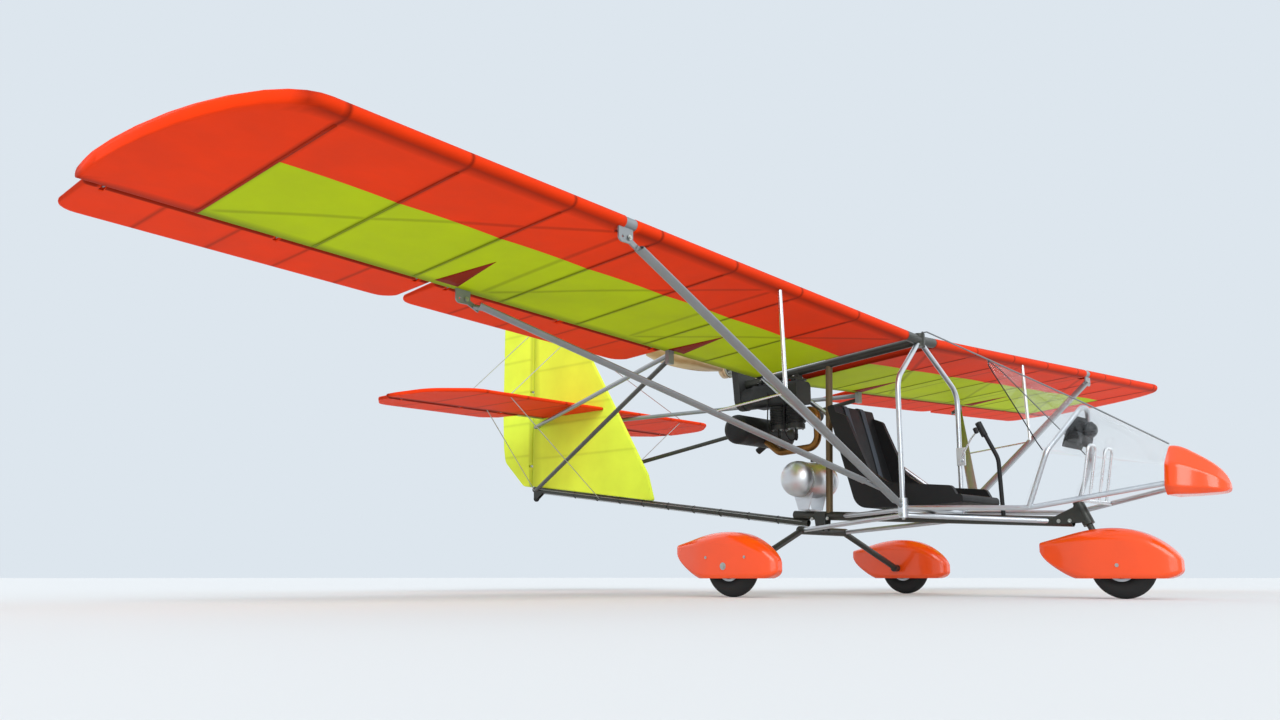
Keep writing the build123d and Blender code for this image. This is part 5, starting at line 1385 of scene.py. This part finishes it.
def make_engine_details():
    """Head, drive and bearer bolts, plug caps with their leads, and the propeller's bolts."""
    caps = bmesh.new()
    bolts = [
        ((bolt_circle * across, y + bolt_circle * along, head_z), (0, 0, -1), 0.010, 0.006)
        for y in cylinder_places for across, along in circle(4, pi / 4)
    ]
    bolts += [
        ((drive_bolt_circle * across, drive_cover_y, propeller_z + drive_bolt_circle * up), (0, 1, 0), 0.010, 0.005)
        for across, up in circle(8, 0.2)
    ]
    bolts += both_sides(
        ((0.052, drive_cover_y, engine_axis_z), (0, 1, 0), 0.010, 0.005),
        ((0.045, -0.195, bearer_z), (0, 0, 1), 0.012, 0.006), ((0.045, 0.045, bearer_z), (0, 0, 1), 0.012, 0.006),
    )
    make_bolts("engine_bolts", "airframe", "drive_steel", *bolts)
    for y in cylinder_places:
        tip = Vector((0, y, plug_z))
        add_tube(caps, [tip + Vector(place) for place in plug_cap], plug_cap_radius, 14)
        add_tube(caps, smooth_line([tip + Vector(place) for place in plug_lead]), plug_lead_radius, 8)
    piece_from(caps, "plug_caps_and_leads", "airframe", "black_plastic", "black")
    hub = bmesh.new()
    for across, up in circle(6):
        add_bolt(hub, (bolt_circle * across, hub_y, propeller_z + bolt_circle * up), (0, 1, 0), 0.012, 0.006)
    add_prism(hub, (0, hub_y - 0.0002, propeller_z), (0, 1, 0), 0.052, 0.003, 40)
    piece_from(hub, "propeller_bolts", "propeller", "drive_steel", "steel")


tank_centre = Vector((0.0, -0.262, 0.657))
tank_radius = 0.1025
tank_half_length = 0.2045
tank_dome = 0.078
dome_steps = 14
tank_strap_x = 0.100
neck_x = 0.060
neck_radius = 0.021
cap_radius = 0.0255
cradle_half = (0.075, 0.035)
cradle_leg_x = 0.070
cradle_leg_half = 0.003


def make_tank():
    """The fuel tank: a short drum with deep spun ends and rolled seams, its neck and cap, its cradle and straps."""
    drum, seam_radius = tank_half_length - tank_dome, tank_radius + 0.0014
    turns = [pi / 2 * step / dome_steps for step in range(dome_steps)]
    half = [(drum + tank_dome * cos(turn), tank_radius * sin(turn)) for turn in turns]
    half += [(drum + 0.001, tank_radius), (drum - 0.003, seam_radius), (drum - 0.007, seam_radius)]
    half.append((drum - 0.009, tank_radius))
    shell, cap, cradle, straps = bmesh.new(), bmesh.new(), bmesh.new(), bmesh.new()
    add_turned(shell, tank_centre, half + [(-x, radius) for x, radius in reversed(half)], 72)

    neck = tank_centre + Vector((neck_x, 0, tank_radius))
    add_prism(shell, neck - Vector((0, 0, 0.012)), (0, 0, 1), neck_radius, 0.024, 40)
    add_prism(cap, neck + Vector((0, 0, 0.008)), (0, 0, 1), cap_radius, 0.018, 40)
    for across, along in circle(20):
        grip = neck + Vector((across * cap_radius, along * cap_radius, 0.010))
        add_prism(cap, grip, (0, 0, 1), 0.0016, 0.014, 8)

    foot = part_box("fuel_tank")[0].z
    (x, y, z), (across, along) = tank_centre, cradle_half
    add_plate(
        cradle, [(x, y - along, foot + 0.0031), (x, y + along, foot + 0.0031), (x, y + along, foot + 0.0059),
                 (x, y - along, foot + 0.0059)], Vector((across, 0, 0)),
    )
    for leg in (-cradle_leg_x, cradle_leg_x):
        add_plate(
            cradle, [(leg, y - along, foot + 0.003), (leg, y + along, foot + 0.003), (leg, y + 0.075, z - 0.055),
                     (leg, y - 0.075, z - 0.055)], Vector((cradle_leg_half, 0, 0)),
        )
    for piece in (
        piece_from(shell, "tank_shell", "airframe", "polished_aluminium", "tank"),
        piece_from(cap, "tank_cap", "airframe", "black_plastic", "black"),
        piece_from(cradle, "tank_cradle", "airframe", "polished_aluminium", "tank", bevel=0.001),
    ):
        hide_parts("fuel_tank")
    for strap_x in (-tank_strap_x, tank_strap_x):
        add_ring(straps, tank_centre + Vector((strap_x, 0, 0)), (1, 0, 0), tank_radius + 0.0005, 0.0016, 64, 8)
    piece_from(straps, "tank_straps", "airframe", "stay_steel", "steel")


class Wheels(bpy.types.Operator):
    """Finish tyres, rims and the wheel fairings, and screw the fairings on."""

    bl_idname = "microlight.wheels"
    bl_label = "Wheels and Fairings"

    def execute(self, context):
        finish_nodes("rubber", "left_tyre", "right_tyre", "nose_tyre", "tail_wheel")
        finish_nodes("bright", "left_rim", "right_rim", "nose_rim")
        finish_nodes("gelcoat", "main_fairings", "nose_fairing")
        make_bolts("fairing_screws", "airframe", "stay_steel", *both_sides(
            ((0.950, -0.366, 0.155), (1, 0, 0), 0.020, 0.004), ((0.9465, -0.500, 0.200), (1, 0, 0), 0.008, 0.002),
            ((0.9475, -0.250, 0.200), (1, 0, 0), 0.008, 0.002),
        ))
        make_bolts("nose_fairing_screws", "nose_steering", "stay_steel", *both_sides(
            ((0.0795, -2.018, 0.155), (1, 0, 0), 0.018, 0.004),
        ))
        return {"FINISHED"}


# Name, place, spread in degrees and power of the lamps.
lamps = (
    ("key_lamp", (-6.0, -7.0, 7.5), 40, 1.5), ("fill_lamp", (8.0, -5.0, 4.0), 60, 0.5),
    ("back_lamp", (2.0, 9.0, 6.0), 60, 0.6), ("low_lamp", (-7.0, -7.0, 1.2), 40, 0.8),
)


class Stage(bpy.types.Operator):
    """Set the floor, the sky, the lamps and the camera."""

    bl_idname = "microlight.stage"
    bl_label = "Stage"

    def execute(self, context):
        stage = context.scene.microlight_stage
        form = bmesh.new()
        bmesh.ops.create_grid(form, x_segments=2, y_segments=2, size=stage.floor / 2)
        floor = new_object("floor", mesh_from(form, "floor"))
        floor.data.materials.append(
            new_material("pale_matt_floor", Roughness=0.9, Base_Color=linear("#DDE1E4"))[0]
        )
        make_sky(context.scene)
        for name, place, spread, power in lamps:
            lamp = bpy.data.lights.new(name, "SUN")
            lamp.angle = radians(spread)
            lamp.energy = power
            holder = new_object(name, lamp)
            holder.location = place
            holder.rotation_euler = (-Vector(place)).to_track_quat("-Z", "Y").to_euler()
        camera = bpy.data.cameras.new("camera")
        camera.lens = stage.lens
        camera.clip_end = 200
        holder = new_object("camera", camera)
        aim = Vector(stage.aim)
        flat = Vector((sin(stage.azimuth), -cos(stage.azimuth), 0)) * stage.distance
        holder.location = (aim.x + flat.x, aim.y + flat.y, stage.eye)
        holder.rotation_euler = (aim - holder.location).to_track_quat("-Z", "Y").to_euler()
        context.scene.camera = holder
        context.scene.view_settings.view_transform = "Standard"
        return {"FINISHED"}


def make_sky(scene):
    """A soft sky that lights the aircraft, and a slightly brighter one behind it."""
    scene.world = bpy.data.worlds.new("soft_sky")
    scene.world.use_nodes = True
    tree = scene.world.node_tree
    tree.nodes.clear()
    seen = add_node(tree, "ShaderNodeLightPath").outputs
    direct = seen["Is Camera Ray"]
    for other in ("Is Glossy Ray", "Is Transmission Ray"):
        direct = add_node(tree, "ShaderNodeMath", {0: direct, 1: seen[other]}, operation="MAXIMUM")
    light = add_node(tree, "ShaderNodeBackground", {"Color": linear("#F2F5F8"), "Strength": 0.7})
    backdrop = add_node(tree, "ShaderNodeBackground", {"Color": linear("#DDE6EE"), "Strength": 1.0})
    sky = add_node(tree, "ShaderNodeMixShader", {0: direct, 1: light, 2: backdrop})
    add_node(tree, "ShaderNodeOutputWorld", {"Surface": sky})


class MicrolightPanel(bpy.types.Panel):
    """The aircraft's pieces and the stage, in the order in which they are made."""

    bl_idname = "VIEW3D_PT_microlight"
    bl_label = "Microlight Aircraft"
    bl_space_type = "VIEW_3D"
    bl_region_type = "UI"
    bl_category = "Microlight"

    def draw(self, context):
        for operator in operators:
            self.layout.operator(operator.bl_idname)


operators = (
    WingCloth, HingedSurfaces, TailCloth, FrameFittings, HoodAndNose, Cockpit, Engine, Wheels, Stage,
)
groups = {
    "microlight_wing": WingSizes, "microlight_surfaces": SurfaceSizes, "microlight_colours": Colours,
    "microlight_stage": StageSizes,
}


def register():
    """Registers the classes and hangs the sizes and colours on the scene."""
    for item in (*groups.values(), *operators, MicrolightPanel):
        bpy.utils.register_class(item)
    for name, group in groups.items():
        setattr(bpy.types.Scene, name, PointerProperty(type=group))


def unregister():
    """Takes the classes and the sizes off again."""
    for name in groups:
        delattr(bpy.types.Scene, name)
    for item in reversed((*groups.values(), *operators, MicrolightPanel)):
        bpy.utils.unregister_class(item)


def main():
    """Makes every piece and the stage."""
    register()
    bpy.ops.microlight.wing_cloth()
    bpy.ops.microlight.hinged_surfaces()
    bpy.ops.microlight.tail_cloth()
    bpy.ops.microlight.frame_fittings()
    bpy.ops.microlight.hood_and_nose()
    bpy.ops.microlight.cockpit()
    bpy.ops.microlight.engine()
    bpy.ops.microlight.wheels()
    bpy.ops.microlight.stage()


if __name__ == "__main__":
    main()
